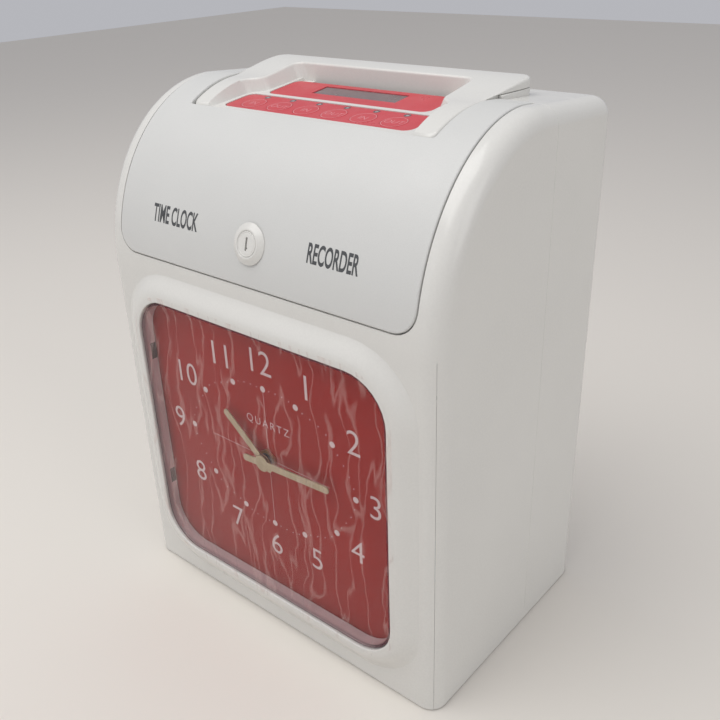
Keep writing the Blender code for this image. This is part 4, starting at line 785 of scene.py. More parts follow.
def soften_seam(bm, seam_y):
    """Rounds the shell's edge at the parting line."""
    seam = [
        e
        for e in bm.edges
        if all(abs(v.co.y - seam_y) < 1e-6 for v in e.verts)
        and any(v.co.z > BOTTOM_Z + 1e-4 for v in e.verts)
        and e.calc_face_angle(0.0) > radians(30)
    ]
    return soften(bm, seam, sizes().seam_round, 3)


def window_outline(outset, y):
    """The window's outline grown by an amount, as one face."""
    bm = plate(WINDOW_HALF + outset, WINDOW_TALL + outset, sizes().window_radius + outset)
    return moved(bm, shift(0, y, WINDOW_Z) @ Matrix.Rotation(pi / 2, 4, "X"))


def window_plate(outset, y, thick):
    """The window's outline grown by an amount, as a solid drawn out along Y."""
    bm = window_outline(outset, y)
    bm.faces.ensure_lookup_table()
    return drawn(bm, bm.faces[0], (0, thick, 0))


def window_rings(section, closed):
    """Skins a section of (outset, y) points round the window's outline."""
    radius = sizes().window_radius
    flat_x, flat_z = WINDOW_HALF - radius, WINDOW_TALL - radius
    bm = window_outline(0, 0)
    edges = bm.edges[:]
    bmesh.ops.delete(bm, geom=bm.faces[:], context="FACES_ONLY")
    verts = bm.verts[:]
    first = edges
    for number, (outset, y) in enumerate(section + section[:1] if closed else section):
        if number:
            made = bmesh.ops.extrude_edge_only(bm, edges=edges)["geom"]
            verts = [g for g in made if isinstance(g, bmesh.types.BMVert)]
            edges = [g for g in made if isinstance(g, bmesh.types.BMEdge)]
            edges = [e for e in edges if e.verts[0] in verts and e.verts[1] in verts]
        for vert in verts:
            side_x, side_z = (1 if vert.co.x > 0 else -1), (1 if vert.co.z > WINDOW_Z else -1)
            core = Vector((side_x * flat_x, vert.co.y, WINDOW_Z + side_z * flat_z))
            spot = core + (vert.co - core).normalized() * (radius + outset)
            vert.co = Vector((spot.x, y, spot.z))
    if not closed:
        for ring in (first, edges):
            bmesh.ops.edgeloop_fill(bm, edges=ring)
    return outward(bm)


def collar_half(y):
    """Half width of the lid's cut-out side of the collar."""
    s = sizes()
    share = min(1.0, max(0.0, (y - COLLAR_LOW.y) / (PARTING_Y - COLLAR_LOW.y)))
    return s.collar_front_half + (s.collar_back_half - s.collar_front_half) * share


def collar_top(y):
    """Height of the collar's top: along the arch in front, then up to the cap."""
    s = sizes()
    lift, crest, end = arch_centre()[0] - 4 * MM, Vector((31.75 * MM, 292.5 * MM)), COLLAR_HIGH
    if y <= lift:
        return arch_z(y)
    slope = (arch_z(lift) - arch_z(lift - MM)) / MM
    first = (lift, arch_z(lift), slope)
    middle = (crest.x, crest.y, s.collar_rise)
    last = (end.y, end.z - 0.05 * MM, 0.0)
    start, stop = (first, middle) if y < crest.x else (middle, last)
    run = stop[0] - start[0]
    t = (y - start[0]) / run
    ease = t * t * (3 - 2 * t)
    bend = run * (start[2] * t * (1 - t) ** 2 - stop[2] * t * t * (1 - t))
    return start[1] + (stop[1] - start[1]) * ease + bend


def tray_z(y):
    return TRAY_Z + (y - TRAY_Y) * sin(TRAY_TILT) / cos(TRAY_TILT)


class LidPath:
    """The line over the arch that the lid follows, measured along its surface."""

    def __init__(self):
        centre, low, run, rise = arch_centre()
        start = asin((LID_LOW.z - low) / rise)
        steps = 240
        self.points = []
        for k in range(steps + 1):
            t = start + (pi / 2 - start) * k / steps
            spot = Vector((0, centre - run * cos(t), low + rise * sin(t)))
            out = Vector((0, -cos(t) / run, sin(t) / rise)).normalized()
            self.points.append((spot, out))
        end = Vector((0, LID_HIGH.y, top_z(LID_HIGH.y)))
        out = Vector((0, sizes().rear_drop, REAR_Y - centre)).normalized()
        self.points.append((end, out))
        self.along = [0.0]
        for (spot, _), (after, _) in zip(self.points, self.points[1:]):
            self.along.append(self.along[-1] + (after - spot).length)
        self.length = self.along[-1]

    def at(self, s):
        """The surface's place and outward direction at a length along the path."""
        k = min(max(bisect_left(self.along, s), 1), len(self.along) - 1)
        share = (s - self.along[k - 1]) / (self.along[k] - self.along[k - 1])
        (spot, out), (after, turn) = self.points[k - 1], self.points[k]
        return spot.lerp(after, share), out.lerp(turn, min(max(share, 0), 1)).normalized()

    def where(self, y):
        """Length along the path at which the surface reaches a given Y."""
        k = [n for n, (spot, _) in enumerate(self.points) if spot.y <= y][-1]
        k = min(k, len(self.points) - 2)
        before, after = self.points[k][0], self.points[k + 1][0]
        share = (y - before.y) / (after.y - before.y)
        return self.along[k] + share * (self.along[k + 1] - self.along[k])

    def roll(self, bm, step=2.2 * MM):
        """Takes a flat shape (x, length along the path, height) onto the arch."""
        low = min(v.co.y for v in bm.verts)
        high = max(v.co.y for v in bm.verts)
        cuts = int((high - low) / step)
        for k in range(1, cuts):
            bmesh.ops.bisect_plane(
                bm,
                geom=bm.verts[:] + bm.edges[:] + bm.faces[:],
                dist=1e-6,
                plane_co=(0, low + (high - low) * k / cuts, 0),
                plane_no=(0, 1, 0),
            )
        for vert in bm.verts:
            spot, out = self.at(vert.co.y)
            vert.co = Vector((vert.co.x, 0, 0)) + spot + out * vert.co.z
        return bm


def outline_face(corners):
    """A flat face through its corners, each given as (x, y, radius)."""
    bm = bmesh.new()
    verts = [bm.verts.new((x, y, 0)) for x, y, _ in corners]
    bm.faces.new(verts)
    for vert, (_, _, radius) in list(zip(verts, corners)):
        if radius:
            bmesh.ops.bevel(
                bm,
                geom=[vert],
                offset=radius,
                segments=sizes().round_steps,
                profile=0.5,
                affect="VERTICES",
                material=-1,
            )
    bmesh.ops.recalc_face_normals(bm, faces=bm.faces)
    bm.faces.ensure_lookup_table()
    return bm


def mirrored_outline(corners):
    """Corners on the right, from front to back, with their copies on the left."""
    return corners + [(-x, y, radius) for x, y, radius in reversed(corners)]


def flat_solid(corners, low, high):
    bm = outline_face(corners)
    bmesh.ops.translate(bm, verts=bm.verts, vec=(0, 0, high))
    return drawn(bm, bm.faces[0], (0, 0, low - high))


def flared(levels):
    """A solid through outlines with the same number of corners, given as (height, corners)."""
    bm = bmesh.new()
    rows = []
    for height, corners in levels:
        flat = outline_face(corners)
        rows.append([bm.verts.new((v.co.x, v.co.y, height)) for v in flat.faces[0].verts])
        flat.free()
    for row in (rows[0], rows[-1]):
        bm.faces.new(row)
    for row, after in zip(rows, rows[1:]):
        for k in range(len(row)):
            n = (k + 1) % len(row)
            bm.faces.new((row[k], row[n], after[n], after[k]))
    return outward(bm)


def word(text, height, thick, middle=True, squeeze=1.0, weight=0.0, spread=1.0):
    """A word as a thin mesh in the XY plane, standing on Y 0 and rising along +Z."""
    curve = bpy.data.curves.new("word", "FONT")
    curve.body = text
    curve.align_x = "CENTER" if middle else "LEFT"
    curve.extrude = 0.02
    curve.offset = weight
    curve.space_character = spread
    curve.resolution_u = 5
    obj = bpy.data.objects.new("word", curve)
    bpy.context.scene.collection.objects.link(obj)
    bpy.context.view_layer.update()
    graph = bpy.context.evaluated_depsgraph_get()
    mesh = bpy.data.meshes.new_from_object(obj.evaluated_get(graph))
    bm = bmesh.new()
    bm.from_mesh(mesh)
    bpy.data.objects.remove(obj)
    bpy.data.curves.remove(curve)
    bpy.data.meshes.remove(mesh)
    bmesh.ops.remove_doubles(bm, verts=bm.verts, dist=1e-5)
    low = Vector(map(min, zip(*(v.co for v in bm.verts))))
    high = Vector(map(max, zip(*(v.co for v in bm.verts))))
    size = height / (high.y - low.y)
    centre = (low.x + high.x) / 2
    bmesh.ops.translate(bm, verts=bm.verts, vec=(-centre, -(low.y + high.y) / 2, -low.z))
    bmesh.ops.scale(bm, verts=bm.verts, vec=(size * squeeze, size, thick / (high.z - low.z)))
    return bm


def on_dial(bm, x, z, turn=0.0):
    """Takes a flat shape from the XY plane onto the dial's face, standing upright."""
    upright = Matrix.Rotation(pi / 2, 4, "X") @ Matrix.Rotation(turn, 4, "Z")
    return moved(bm, shift(x, DIAL_FACE, z) @ upright)


# Pieces: the shells


def front_shell():
    s = sizes()
    seam_y = PARTING_Y - PARTING_GAP / 2
    shell = slice_off(soft_case(0, BOTTOM_Z), (0, seam_y, 0), (0, 1, 0))
    soften_seam(shell, seam_y)
    inner = HALF - s.wall
    deep = s.ledge_depth + 2.5 * MM
    arch_low = arch_centre()[1]
    vault = bmesh.new()
    ring = ring_edges(vault, profile_chain(vault, -inner, deep, arch_low))
    face = bmesh.ops.edgeloop_fill(vault, edges=ring)["faces"][0]
    drawn(vault, face, (2 * inner, 0, 0))
    room = block((-inner, RIM_Y + s.bezel_proud + s.wall, -HALF), (inner, REAR_Y, arch_low + MM))
    edge = s.lid_line + LID_HIGH.x
    sheet = bmesh.new()
    low_z = LID_LOW.z - s.lid_line
    over = arch_chain(sheet, -edge, -HALF / 4, low_z)
    under = arch_chain(sheet, -edge, s.ledge_depth, low_z)
    over.append(sheet.verts.new((-edge, REAR_Y, over[-1].co.z)))
    under.append(sheet.verts.new((-edge, REAR_Y, under[-1].co.z - s.rear_drop)))
    face = bmesh.ops.edgeloop_fill(sheet, edges=ring_edges(sheet, over + under[::-1]))["faces"][0]
    drawn(sheet, face, (2 * edge, 0, 0))
    tall = TOP_Z
    view = plate(edge, tall, s.lid_radius + s.lid_line)
    drawn(view, view.faces[0], (0, 0, -4 * HALF))
    moved(view, shift(0, 2 * RIM_Y, low_z + tall) @ Matrix.Rotation(pi / 2, 4, "X"))
    seat = combined(sheet, "INTERSECT", view)
    inside = edge - s.ledge_width
    opening = block((-inside, 2 * RIM_Y, low_z + s.ledge_width + s.lid_line), (inside, REAR_Y, 2 * TOP_Z))
    swing = block((-edge, HINGE.y - 8 * MM, TOP_Z / 2), (edge, REAR_Y, 2 * TOP_Z))
    hole = window_plate(s.well_wall / 2, 2 * RIM_Y, 4 * HALF / 3)
    shell = combined(shell, "DIFFERENCE", vault, room, seat, opening, swing, hole)
    front = RIM_Y + s.bezel_proud
    well_end = DIAL_FACE - SEAM_GAP
    rim = RIM_Y + 0.25 * MM
    round_by = 0.6 * MM
    section = [(0.0, well_end)]
    for k in range(4):
        t = pi / 2 * k / 3
        section.append((round_by * (1 - cos(t)), rim + round_by * (1 - sin(t))))
    swell = 10
    for k in range(1, swell + 1):
        share = (k / swell) ** 1.3
        rise = share * share * (3 - 2 * share)
        outset = 1.2 * MM + (s.bezel_reach - 1.2 * MM) * k / swell
        section.append((outset, rim + (front + 0.2 * MM - rim) * rise))
    section += [(s.bezel_reach, front + s.wall / 2), (s.well_wall, front + s.wall / 2)]
    section.append((s.well_wall, well_end))
    shell = combined(shell, "UNION", window_rings(section, True))
    slots = []
    for side in (-1, 1):
        for z in CLIP_ROWS:
            near = side * (WINDOW_HALF - MM)
            far = side * (WINDOW_HALF + 4 * MM)
            low = (min(near, far), well_end - 3.4 * MM, WINDOW_LOW + z - 4.8 * MM)
            high = (max(near, far), well_end + MM, WINDOW_LOW + z + 4.8 * MM)
            slots.append(block(low, high))
    shell = combined(shell, "DIFFERENCE", *slots)
    return piece("front_shell", shell, "case", "case", ["front_case"])


def rear_shell():
    s = sizes()
    seam_y = PARTING_Y + PARTING_GAP / 2
    shell = slice_off(soft_case(0, BOTTOM_Z), (0, seam_y, 0), (0, -1, 0))
    soften_seam(shell, seam_y)
    shell = combined(shell, "DIFFERENCE", soft_case(s.wall, -HALF))
    cap = COLLAR_HIGH.x
    bottom = TOP_Z - s.rear_drop - s.wall / 2
    plinth = block((-cap, seam_y, bottom), (cap, COLLAR_HIGH.y, TOP_Z + MM))
    upright = [e for e in plinth.edges if e.verts[0].co.xy == e.verts[1].co.xy and e.verts[0].co.y > 0]
    soften(plinth, [e for e in upright if e.verts[0].co.y > PARTING_Y + MM], s.collar_corner, 6)
    soften(plinth, [e for e in sharp_edges(plinth) if min(v.co.z for v in e.verts) > TOP_Z], 0.4 * MM)
    shell = combined(shell, "UNION", plinth)
    grow = 0.4 * MM
    well = flat_solid(
        mirrored_outline(
            [
                (s.collar_front_half + grow, COLLAR_LOW.y - grow, 0),
                (s.collar_back_half + grow, PARTING_Y, 0),
                (s.collar_back_half + grow, COLLAR_HIGH.y - 2.1 * MM + grow, 0),
            ]
        ),
        TOP_Z / 2,
        2 * TOP_Z,
    )
    inlet_low, inlet_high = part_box("power_inlet")
    gap = Vector((SEAM_GAP, s.wall, SEAM_GAP))
    socket = block(
        (inlet_low.x - gap.x, REAR_Y - 2 * s.wall, inlet_low.z - gap.z),
        (inlet_high.x + gap.x, REAR_Y + s.wall, inlet_high.z + gap.z),
    )
    shell = combined(shell, "DIFFERENCE", well, socket)
    for name in ("rear_screw_left", "rear_screw_right"):
        low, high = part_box(name)
        x, z, radius = (low.x + high.x) / 2, (low.z + high.z) / 2, (high.x - low.x) / 2
        inner = REAR_Y - s.wall - 8 * MM
        boss = rod((x, inner, z), (x, REAR_Y - s.wall / 2, z), 6 * MM, 40)
        sink = rod((x, REAR_Y - 5 * MM, z), (x, REAR_Y + 5 * MM, z), radius + 0.3 * MM, 40)
        through = rod((x, inner - MM, z), (x, REAR_Y, z), 1.8 * MM, 24)
        shell = combined(combined(shell, "UNION", boss), "DIFFERENCE", sink, through)
    return piece("rear_shell", shell, "case", "case", ["rear_cover"])


# Pieces: lid and lock


def lid_piece(path):
    s = sizes()
    cut = s.collar_front_half + s.lid_line
    front_cut = path.where(COLLAR_LOW.y - s.lid_line)
    back_half = collar_half(LID_HIGH.y) + s.lid_line
    half = LID_HIGH.x
    corners = [
        (half, 0.0, s.lid_radius),
        (half, path.length, 2.5 * MM),
        (back_half, path.length, 1.2 * MM),
        (cut, front_cut, 1.5 * MM),
        (-cut, front_cut, 1.5 * MM),
        (-back_half, path.length, 1.2 * MM),
        (-half, path.length, 2.5 * MM),
        (-half, 0.0, s.lid_radius),
    ]
    top = s.lid_proud
    lid = flat_solid(corners, top - s.lid_thick, top)
    soften(lid, [e for e in sharp_edges(lid) if min(v.co.z for v in e.verts) > 0], 0.75 * MM, 3)
    path.roll(lid)
    lugs = []
    for side in (-1, 1):
        x = side * 88 * MM
        lug = block(
            (x - 2 * MM, HINGE.y - 2.8 * MM, HINGE.z - 2.8 * MM),
            (x + 2 * MM, HINGE.y + 2.8 * MM, top_z(HINGE.y) - s.lid_thick / 2),
            0.4 * MM,
        )
        lugs.append(lug)
    lid = combined(lid, "UNION", *lugs)
    cuts = [rod((x - 4 * MM, HINGE.y, HINGE.z), (x + 4 * MM, HINGE.y, HINGE.z), 1.8 * MM, 24)
            for x in (-88 * MM, 88 * MM)]
    cuts.append(rod(LOCK + LOCK_OUT * 8 * MM, LOCK - LOCK_OUT * 8 * MM, 8.3 * MM, 64))
    lid = combined(lid, "DIFFERENCE", *cuts)
    return piece("lid_shell", lid, "lid", "lid", ["front_lid"])


def lid_words(path):
    s = sizes()
    made = []
    for text, x, name in ((s.left_word, -54 * MM, "left"), (s.right_word, 51 * MM, "right")):
        bm = word(text, 9.2 * MM, 0.05 * MM, squeeze=0.47, weight=0.022)
        moved(bm, shift(x, WORD_UP, s.lid_proud))
        path.roll(bm, 3 * MM)
        made.append(piece(f"lid_word_{name}", bm, "lettering", "lid", weighted=False))
    return made


def lock_frame():
    turn = Vector((0, 0, 1)).rotation_difference(LOCK_OUT).to_matrix().to_4x4()
    return Matrix.Translation(LOCK) @ turn


def lock_pieces():
    """The barrel's flange and the plug in it, with its keyway and a dark sheet of painted shadow down the
    keyway, turned about the lock's axis.
    """
    proud = 2.2 * MM
    face, plug = 6.9 * MM, 6.0 * MM
    flange, body = 10 * MM, 8 * MM
    profile = [
        (plug + 0.12 * MM, -9 * MM),
        (plug + 0.12 * MM, proud - 0.3 * MM),
        (plug + 0.3 * MM, proud - 0.1 * MM),
        (face, proud - 0.05 * MM),
        (face + 0.3 * MM, proud - 0.12 * MM),
        (flange - 0.5 * MM, proud - 1.5 * MM),
        (flange - 0.12 * MM, proud - 1.75 * MM),
        (flange, proud - 2.0 * MM),
        (flange, 0.05 * MM),
        (body, 0.05 * MM),
        (body, -9 * MM),
    ]
    barrel = moved(turned(profile, 96), lock_frame())
    piece("lock_flange", barrel, "case", "lid", ["lock_barrel"], angle=24)
    crown = proud - 0.08 * MM
    profile = [(0, crown), (plug - 1.1 * MM, crown), (plug - 0.9 * MM, crown - 0.12 * MM)]
    profile += [(plug - 0.7 * MM, crown - 0.12 * MM), (plug - 0.5 * MM, crown)]
    profile += [(plug - 0.2 * MM, crown), (plug, crown - 0.2 * MM), (plug, -9 * MM), (0, -9 * MM)]
    plug_bm = turned(profile[::-1], 96)
    keyway = block((-0.6 * MM, -3.15 * MM, crown - 6 * MM), (0.6 * MM, 3.15 * MM, proud + MM))
    ward = block((0, -2.2 * MM, crown - 6 * MM), (1.1 * MM, -1.5 * MM, proud + MM))
    plug_bm = combined(plug_bm, "DIFFERENCE", keyway, ward)
    moved(plug_bm, lock_frame())
    piece("lock_core", plug_bm, "case", "lock", ["lock_plug"], angle=24)
    lining = block((-0.62 * MM, -3.2 * MM, crown - 5.9 * MM), (0.62 * MM, 3.2 * MM, crown - 0.9 * MM))
    # Painted shadow: a thin dark sheet inside the keyway stands for the shade in it.
    wall = slab(1.1 * MM, 3.6 * MM, 0.5 * MM, 0.4 * MM)
    bmesh.ops.translate(wall, verts=wall.verts, vec=(0, 0, crown - 1.6 * MM))
    lining.free()
    moved(wall, lock_frame())
    piece("keyway_painted_shadow", wall, "dark", "lock", weighted=False)


# Pieces: the collar with the tray, keypad and display


def collar_piece():
    """The raised surround, modelled flat in (x, y, depth) and then draped over the arch."""
    s = sizes()
    front, back, low = COLLAR_LOW.y, COLLAR_HIGH.y, -20 * MM
    body_back = back - 2.1 * MM
    body = flat_solid(
        mirrored_outline(
            [
                (s.collar_front_half, front, 3.2 * MM),
                (collar_half(PARTING_Y), PARTING_Y, 0),
                (collar_half(PARTING_Y), body_back, s.collar_corner),
            ]
        ),
        low,
        0,
    )
    cap_low = -4.4 * MM
    cap = flat_solid(
        mirrored_outline(
            [
                (collar_half(8 * MM) - 0.02 * MM, 8 * MM, 0),
                (COLLAR_HIGH.x - 0.6 * MM, 25 * MM, 12 * MM),
                (COLLAR_HIGH.x, back, s.collar_corner),
            ]
        ),
        cap_low,
        0,
    )
    solid = combined(body, "UNION", cap)
    rear = TRAY_Y + 55.2 * MM * cos(TRAY_TILT)
    wide, narrow = STRIP_HIGH.x + SEAM_GAP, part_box("display_panel")[1].x + SEAM_GAP
    rim = front - 6 * MM

    def opening(grow):
        return mirrored_outline(
            [
                (wide + grow, rim, 3.5 * MM),
                (wide + grow, 1.2 * MM, 3.5 * MM),
                (narrow + grow, 7.2 * MM, 3.5 * MM),
                (narrow + grow, rear - 0.4 * MM, 5 * MM),
            ]
        )

    foot = 1.5 * MM
    flare_low, flare_top = -8 * MM, 5 * MM
    flare_rise = flare_top - flare_low
    levels = ((2 * low, foot), (flare_low, foot), (flare_top, foot + s.tray_flare * flare_rise))
    recess = flared([(level, opening(grow)) for level, grow in levels])
    solid = combined(solid, "DIFFERENCE", recess)
    bmesh.ops.dissolve_limit(
        solid, angle_limit=radians(0.5), verts=solid.verts, edges=solid.edges, delimit=set()
    )

    def inside(co):
        return abs(co.x) < wide + foot + s.tray_flare * flare_rise and co.y > front + 0.5 * MM

    top_edges = [e for e in sharp_edges(solid, 60) if all(v.co.z > -1e-6 for v in e.verts)]
    inner = [e for e in top_edges if all(inside(v.co) for v in e.verts)]
    outer = [e for e in top_edges if e not in inner]
    for edges, radius in ((inner, s.recess_round), (outer, s.collar_round)):
        bmesh.ops.bevel(
            solid,
            geom=[e for e in edges if e.is_valid],
            offset=radius,
            segments=4,
            profile=0.5,
            affect="EDGES",
            clamp_overlap=False,
            material=-1,
        )
    cuts = int((back - front) / (1.5 * MM))
    for k in range(1, cuts):
        bmesh.ops.bisect_plane(
            solid,
            geom=solid.verts[:] + solid.edges[:] + solid.faces[:],
            dist=1e-6,
            plane_co=(0, front + (back - front) * k / cuts, 0),
            plane_no=(0, 1, 0),
        )
    seat = TOP_Z + 1.3 * MM
    for vert in solid.verts:
        x, y, depth = vert.co
        top = collar_top(y)
        overhang = abs(x) > collar_half(y) + 0.1 * MM or y > body_back + 0.1 * MM
        if depth < low + 1e-5:
            vert.co.z = tray_z(y) - 2.5 * MM if inside(vert.co) else COLLAR_LOW.z
        elif overhang or abs(depth - cap_low) < 1e-5:
            base = min(seat, top - 0.3 * MM)
            vert.co.z = top - (top - base) * depth / cap_low
        elif inside(vert.co):
            vert.co.z = max(top + depth, tray_z(y) - 2.4 * MM)
        else:
            vert.co.z = top + depth
    floor_top, floor_thick = STRIP_THICK + SEAM_GAP, 2 * MM
    deep = 55.4 * MM
    border = (front - TRAY_Y) / cos(TRAY_TILT)
    floor = block(
        (-wide - 5 * MM, border, -floor_top - floor_thick), (wide + 5 * MM, deep, SEAM_GAP)
    )
    cuts = []
    for half, start, end in (
        (wide, -0.4 * MM, KEYPAD_DEEP + SEAM_GAP),
        (narrow, KEYPAD_DEEP + 3.1 * MM, deep + 5 * MM),
    ):
        pocket = slab(half, (end - start) / 2, 4.7 * MM, floor_top + 5 * MM)
        cuts.append(moved(pocket, shift(0, (start + end) / 2, 5 * MM)))
    for x in (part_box(f"key_{name}") for name in KEYS):
        middle = (x[0].x + x[1].x) / 2
        cuts.append(rod((middle, 8.4 * MM, -5 * MM), (middle, 8.4 * MM, 0), 2.2 * MM, 24))
        cuts.append(rod((middle, 18.4 * MM, -5 * MM), (middle, 18.4 * MM, 0), 1.8 * MM, 24))
    cuts.append(block((-29.8 * MM, 29.6 * MM, -6 * MM), (29.8 * MM, 47.2 * MM, 0)))
    floor = combined(floor, "DIFFERENCE", *cuts)
    soften(floor, [e for e in sharp_edges(floor) if min(v.co.z for v in e.verts) > 0.2 * MM], 0.25 * MM)
    floor = in_tray(floor)
    slot_low, slot_high = 28 * MM, rear - 0.4 * MM
    slot = block((-44.5 * MM, slot_low, COLLAR_LOW.z), (44.5 * MM, slot_high + 0.01 * MM, TOP_Z))
    floor = combined(floor, "DIFFERENCE", slot)
    lip = block(
        (-wide - 5 * MM, front + 0.05 * MM, COLLAR_LOW.z),
        (wide + 5 * MM, front + 2 * MM, TRAY_Z - 3 * MM),
    )
    solid = merged(solid, floor, lip)
    return piece("collar_shell", solid, "case", "case", ["card_collar"], angle=40)


def strip_outline(half, low, high, radius):
    bm = slab(half, (high - low) / 2, radius, STRIP_THICK, 0.25 * MM)
    bmesh.ops.translate(bm, verts=bm.verts, vec=(0, (low + high) / 2, 0))
    return bm


def keypad_pieces():
    s = sizes()
    strip = strip_outline(STRIP_HIGH.x, 0, KEYPAD_DEEP, 4.5 * MM)
    cuts = []
    middles = []
    for name in KEYS:
        low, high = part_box(f"key_{name}")
        middles.append((low.x + high.x) / 2)
    for x in middles:
        cuts.append(rod((x, KEY_V, -3 * MM), (x, KEY_V, MM), s.key_radius + 0.08 * MM, 64))
        cuts.append(rod((x, LAMP_V, -3 * MM), (x, LAMP_V, MM), 1.8 * MM, 32))
    strip = combined(strip, "DIFFERENCE", *cuts)
    piece("keypad_film", in_tray(strip), "strip", "case", ["keypad_overlay"])
    for name, x in zip(KEYS, middles):
        up = 0.12 * MM
        profile = [(0, up), (s.key_radius - 0.5 * MM, up), (s.key_radius - 0.15 * MM, up - 0.08 * MM)]
        profile += [(s.key_radius, -0.1 * MM), (s.key_radius, -0.6 * MM)]
        profile += [(1.75 * MM, -0.6 * MM), (1.75 * MM, -4.2 * MM), (0, -4.2 * MM)]
        place = TRAY @ shift(x, KEY_V, 0)
        cap = moved(turned(profile[::-1], 64), place)
        piece(f"key_cap_{name}", cap, "strip", f"key_{name}", [f"key_{name}"], angle=24)
        ring = turned(
            [
                (s.key_radius - 0.62 * MM, up),
                (s.key_radius - 0.62 * MM, up + 0.04 * MM),
                (s.key_radius - 0.35 * MM, up + 0.04 * MM),
                (s.key_radius - 0.35 * MM, up),
            ],
            64,
        )
        label = word(name.split("_")[0].upper(), 3.6 * MM, 0.05 * MM, squeeze=0.95, weight=-0.018)
        bmesh.ops.translate(label, verts=label.verts, vec=(0, 0, up - 0.005 * MM))
        print_bm = moved(merged(ring, label), place)
        piece(f"key_print_{name}", print_bm, "strip_print", f"key_{name}", weighted=False)
        ring = turned([(1.15 * MM, -0.4 * MM), (1.15 * MM, 0.04 * MM), (1.7 * MM, 0.04 * MM),
                       (1.7 * MM, -0.4 * MM)], 40)
        moved(ring, TRAY @ shift(x, LAMP_V, 0))
        piece(f"lamp_ring_{name}", ring, "lamp_rim", "case")
        lamp = turned([(0, -1.4 * MM), (1.1 * MM, -1.4 * MM), (1.1 * MM, -0.2 * MM),
                       (0.8 * MM, 0.02 * MM), (0, 0.1 * MM)], 32)
        piece(f"lamp_{name}", moved(lamp, TRAY @ shift(x, LAMP_V, 0)), "lamp", "case")


def display_pieces():
    low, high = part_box("display_panel")
    start = (low.y - TRAY_Y) / cos(TRAY_TILT)
    deep = 24 * MM
    strip = strip_outline(high.x, start, start + deep, 4.5 * MM)
    window = block((-27 * MM, LCD_V - 6 * MM, -5 * MM), (27 * MM, LCD_V + 6 * MM, MM))
    strip = combined(strip, "DIFFERENCE", window)
    piece("display_film", in_tray(strip), "strip", "case", ["display_panel"])
    pane = slab(27.6 * MM, 6.6 * MM, 0.3 * MM, 0.8 * MM)
    moved(pane, TRAY @ shift(0, LCD_V, -0.35 * MM))
    piece("display_pane", pane, "display", "case")


# Pieces: window and dial


def lens_piece():
    """The clear lens: a thin plate with a skirt round its edge and four hooks; its edge carries painted
    shade, its skirt a painted reflection of the dial, and dark sheets of painted shadow mark the clip
    slots.
    """
    front, back, thick = LENS_LOW.y, LENS_HIGH.y, 1.4 * MM
    edge, skirt = -LENS_FIT, 1.2 * MM
    section = [
        (edge - 1.2 * MM, front),
        (edge - 0.75 * MM, front + 0.1 * MM),
        (edge - 0.2 * MM, front + 0.5 * MM),
        (edge, front + 1.0 * MM),
        (edge, back),
        (edge - skirt, back),
        (edge - skirt, front + thick),
    ]
    lens = window_rings(section, False)
    hooks = []
    for side in (-1, 1):
        for z in CLIP_ROWS:
            near = side * (WINDOW_HALF - LENS_FIT - 0.6 * MM)
            far = side * (WINDOW_HALF + CLIP_REACH)
            low = (min(near, far), back - 3.0 * MM, WINDOW_LOW + z - 4.5 * MM)
            high = (max(near, far), back, WINDOW_LOW + z + 4.5 * MM)
            hooks.append(block(low, high))
    lens = combined(lens, "UNION", *hooks)
    # The rounded front edge gets painted shade and the skirt a pink painted reflection of the dial; the
    # large plate faces stay clear.
    plate_faces = [f for f in lens.faces if f.calc_area() > 0.01]
    for face in lens.faces:
        centre = face.calc_center_median()
        face.material_index = 1 if centre.y < front + 1.1 * MM else 2
    for face in plate_faces:
        face.material_index = 0
    # The skirt's finish is a painted reflection of the dial's pink.
    materials = ["lens", "lens_edge", "skirt_painted_reflection"]
    piece("lens_plate", lens, materials, "case", ["window_lens"], angle=50)
    # Painted shadow: thin dark sheets on the skirt's inner side where the clip slots would show through
    # it.
    shades = []
    for side in (-1, 1):
        for z in CLIP_ROWS:
            x = side * (WINDOW_HALF - LENS_FIT - skirt - 0.02 * MM)
            low = (x - 0.02 * MM, back - 3.6 * MM, WINDOW_LOW + z - 4.8 * MM)
            shades.append(block(low, (x + 0.02 * MM, back - 0.1 * MM, WINDOW_LOW + z + 4.8 * MM)))
            low = (x - 0.03 * MM, back - 2.4 * MM, WINDOW_LOW + z - 2.6 * MM)
            shades.append(block(low, (x + 0.03 * MM, back - 0.8 * MM, WINDOW_LOW + z + 2.6 * MM)))
    piece("clip_slot_painted_shadows", merged(*shades), "slot_shade", "case", weighted=False)


def film_piece():
    """Protective film stuck over the lens, lifted into long wrinkles."""
    bm = plate(WINDOW_HALF + 3.2 * MM, WINDOW_TALL + 3.2 * MM, sizes().window_radius + 3 * MM)
    moved(bm, Matrix.Rotation(pi / 2, 4, "X"))
    moved(bm, shift(0, RIM_Y + 0.18 * MM, WINDOW_Z))
    for axis, count, half in ((0, 120, WINDOW_HALF), (2, 60, WINDOW_TALL)):
        for k in range(count + 1):
            spot = [0, 0, WINDOW_Z]
            spot[axis] += half * (2 * k / count - 1)
            normal = [0, 0, 0]
            normal[axis] = 1
            bmesh.ops.bisect_plane(
                bm,
                geom=bm.verts[:] + bm.edges[:] + bm.faces[:],
                dist=1e-6,
                plane_co=spot,
                plane_no=normal,
            )
    top, bottom = RIM_Y + 0.18 * MM, LENS_LOW.y - 0.08 * MM
    for vert in bm.verts:
        x, _, z = vert.co
        over = min(WINDOW_HALF - abs(x), WINDOW_TALL - abs(z - WINDOW_Z)) / (5 * MM)
        sink = min(max(over, 0.0), 1.0)
        sink = sink * sink * (3 - 2 * sink)
        base = top + (bottom - top) * sink
        bend = 0.8 * noise.noise(Vector((x * 20, 5, z * 25)))
        wave = noise.noise(Vector((x * 75, 1.7, z * 13 + bend)))
        vert.co.y = base - (0.1 * MM + 0.7 * MM * sink) * max(0.0, wave - 0.12) * 0.9
    return piece("film_sheet", bm, "film", "case", weighted=False)


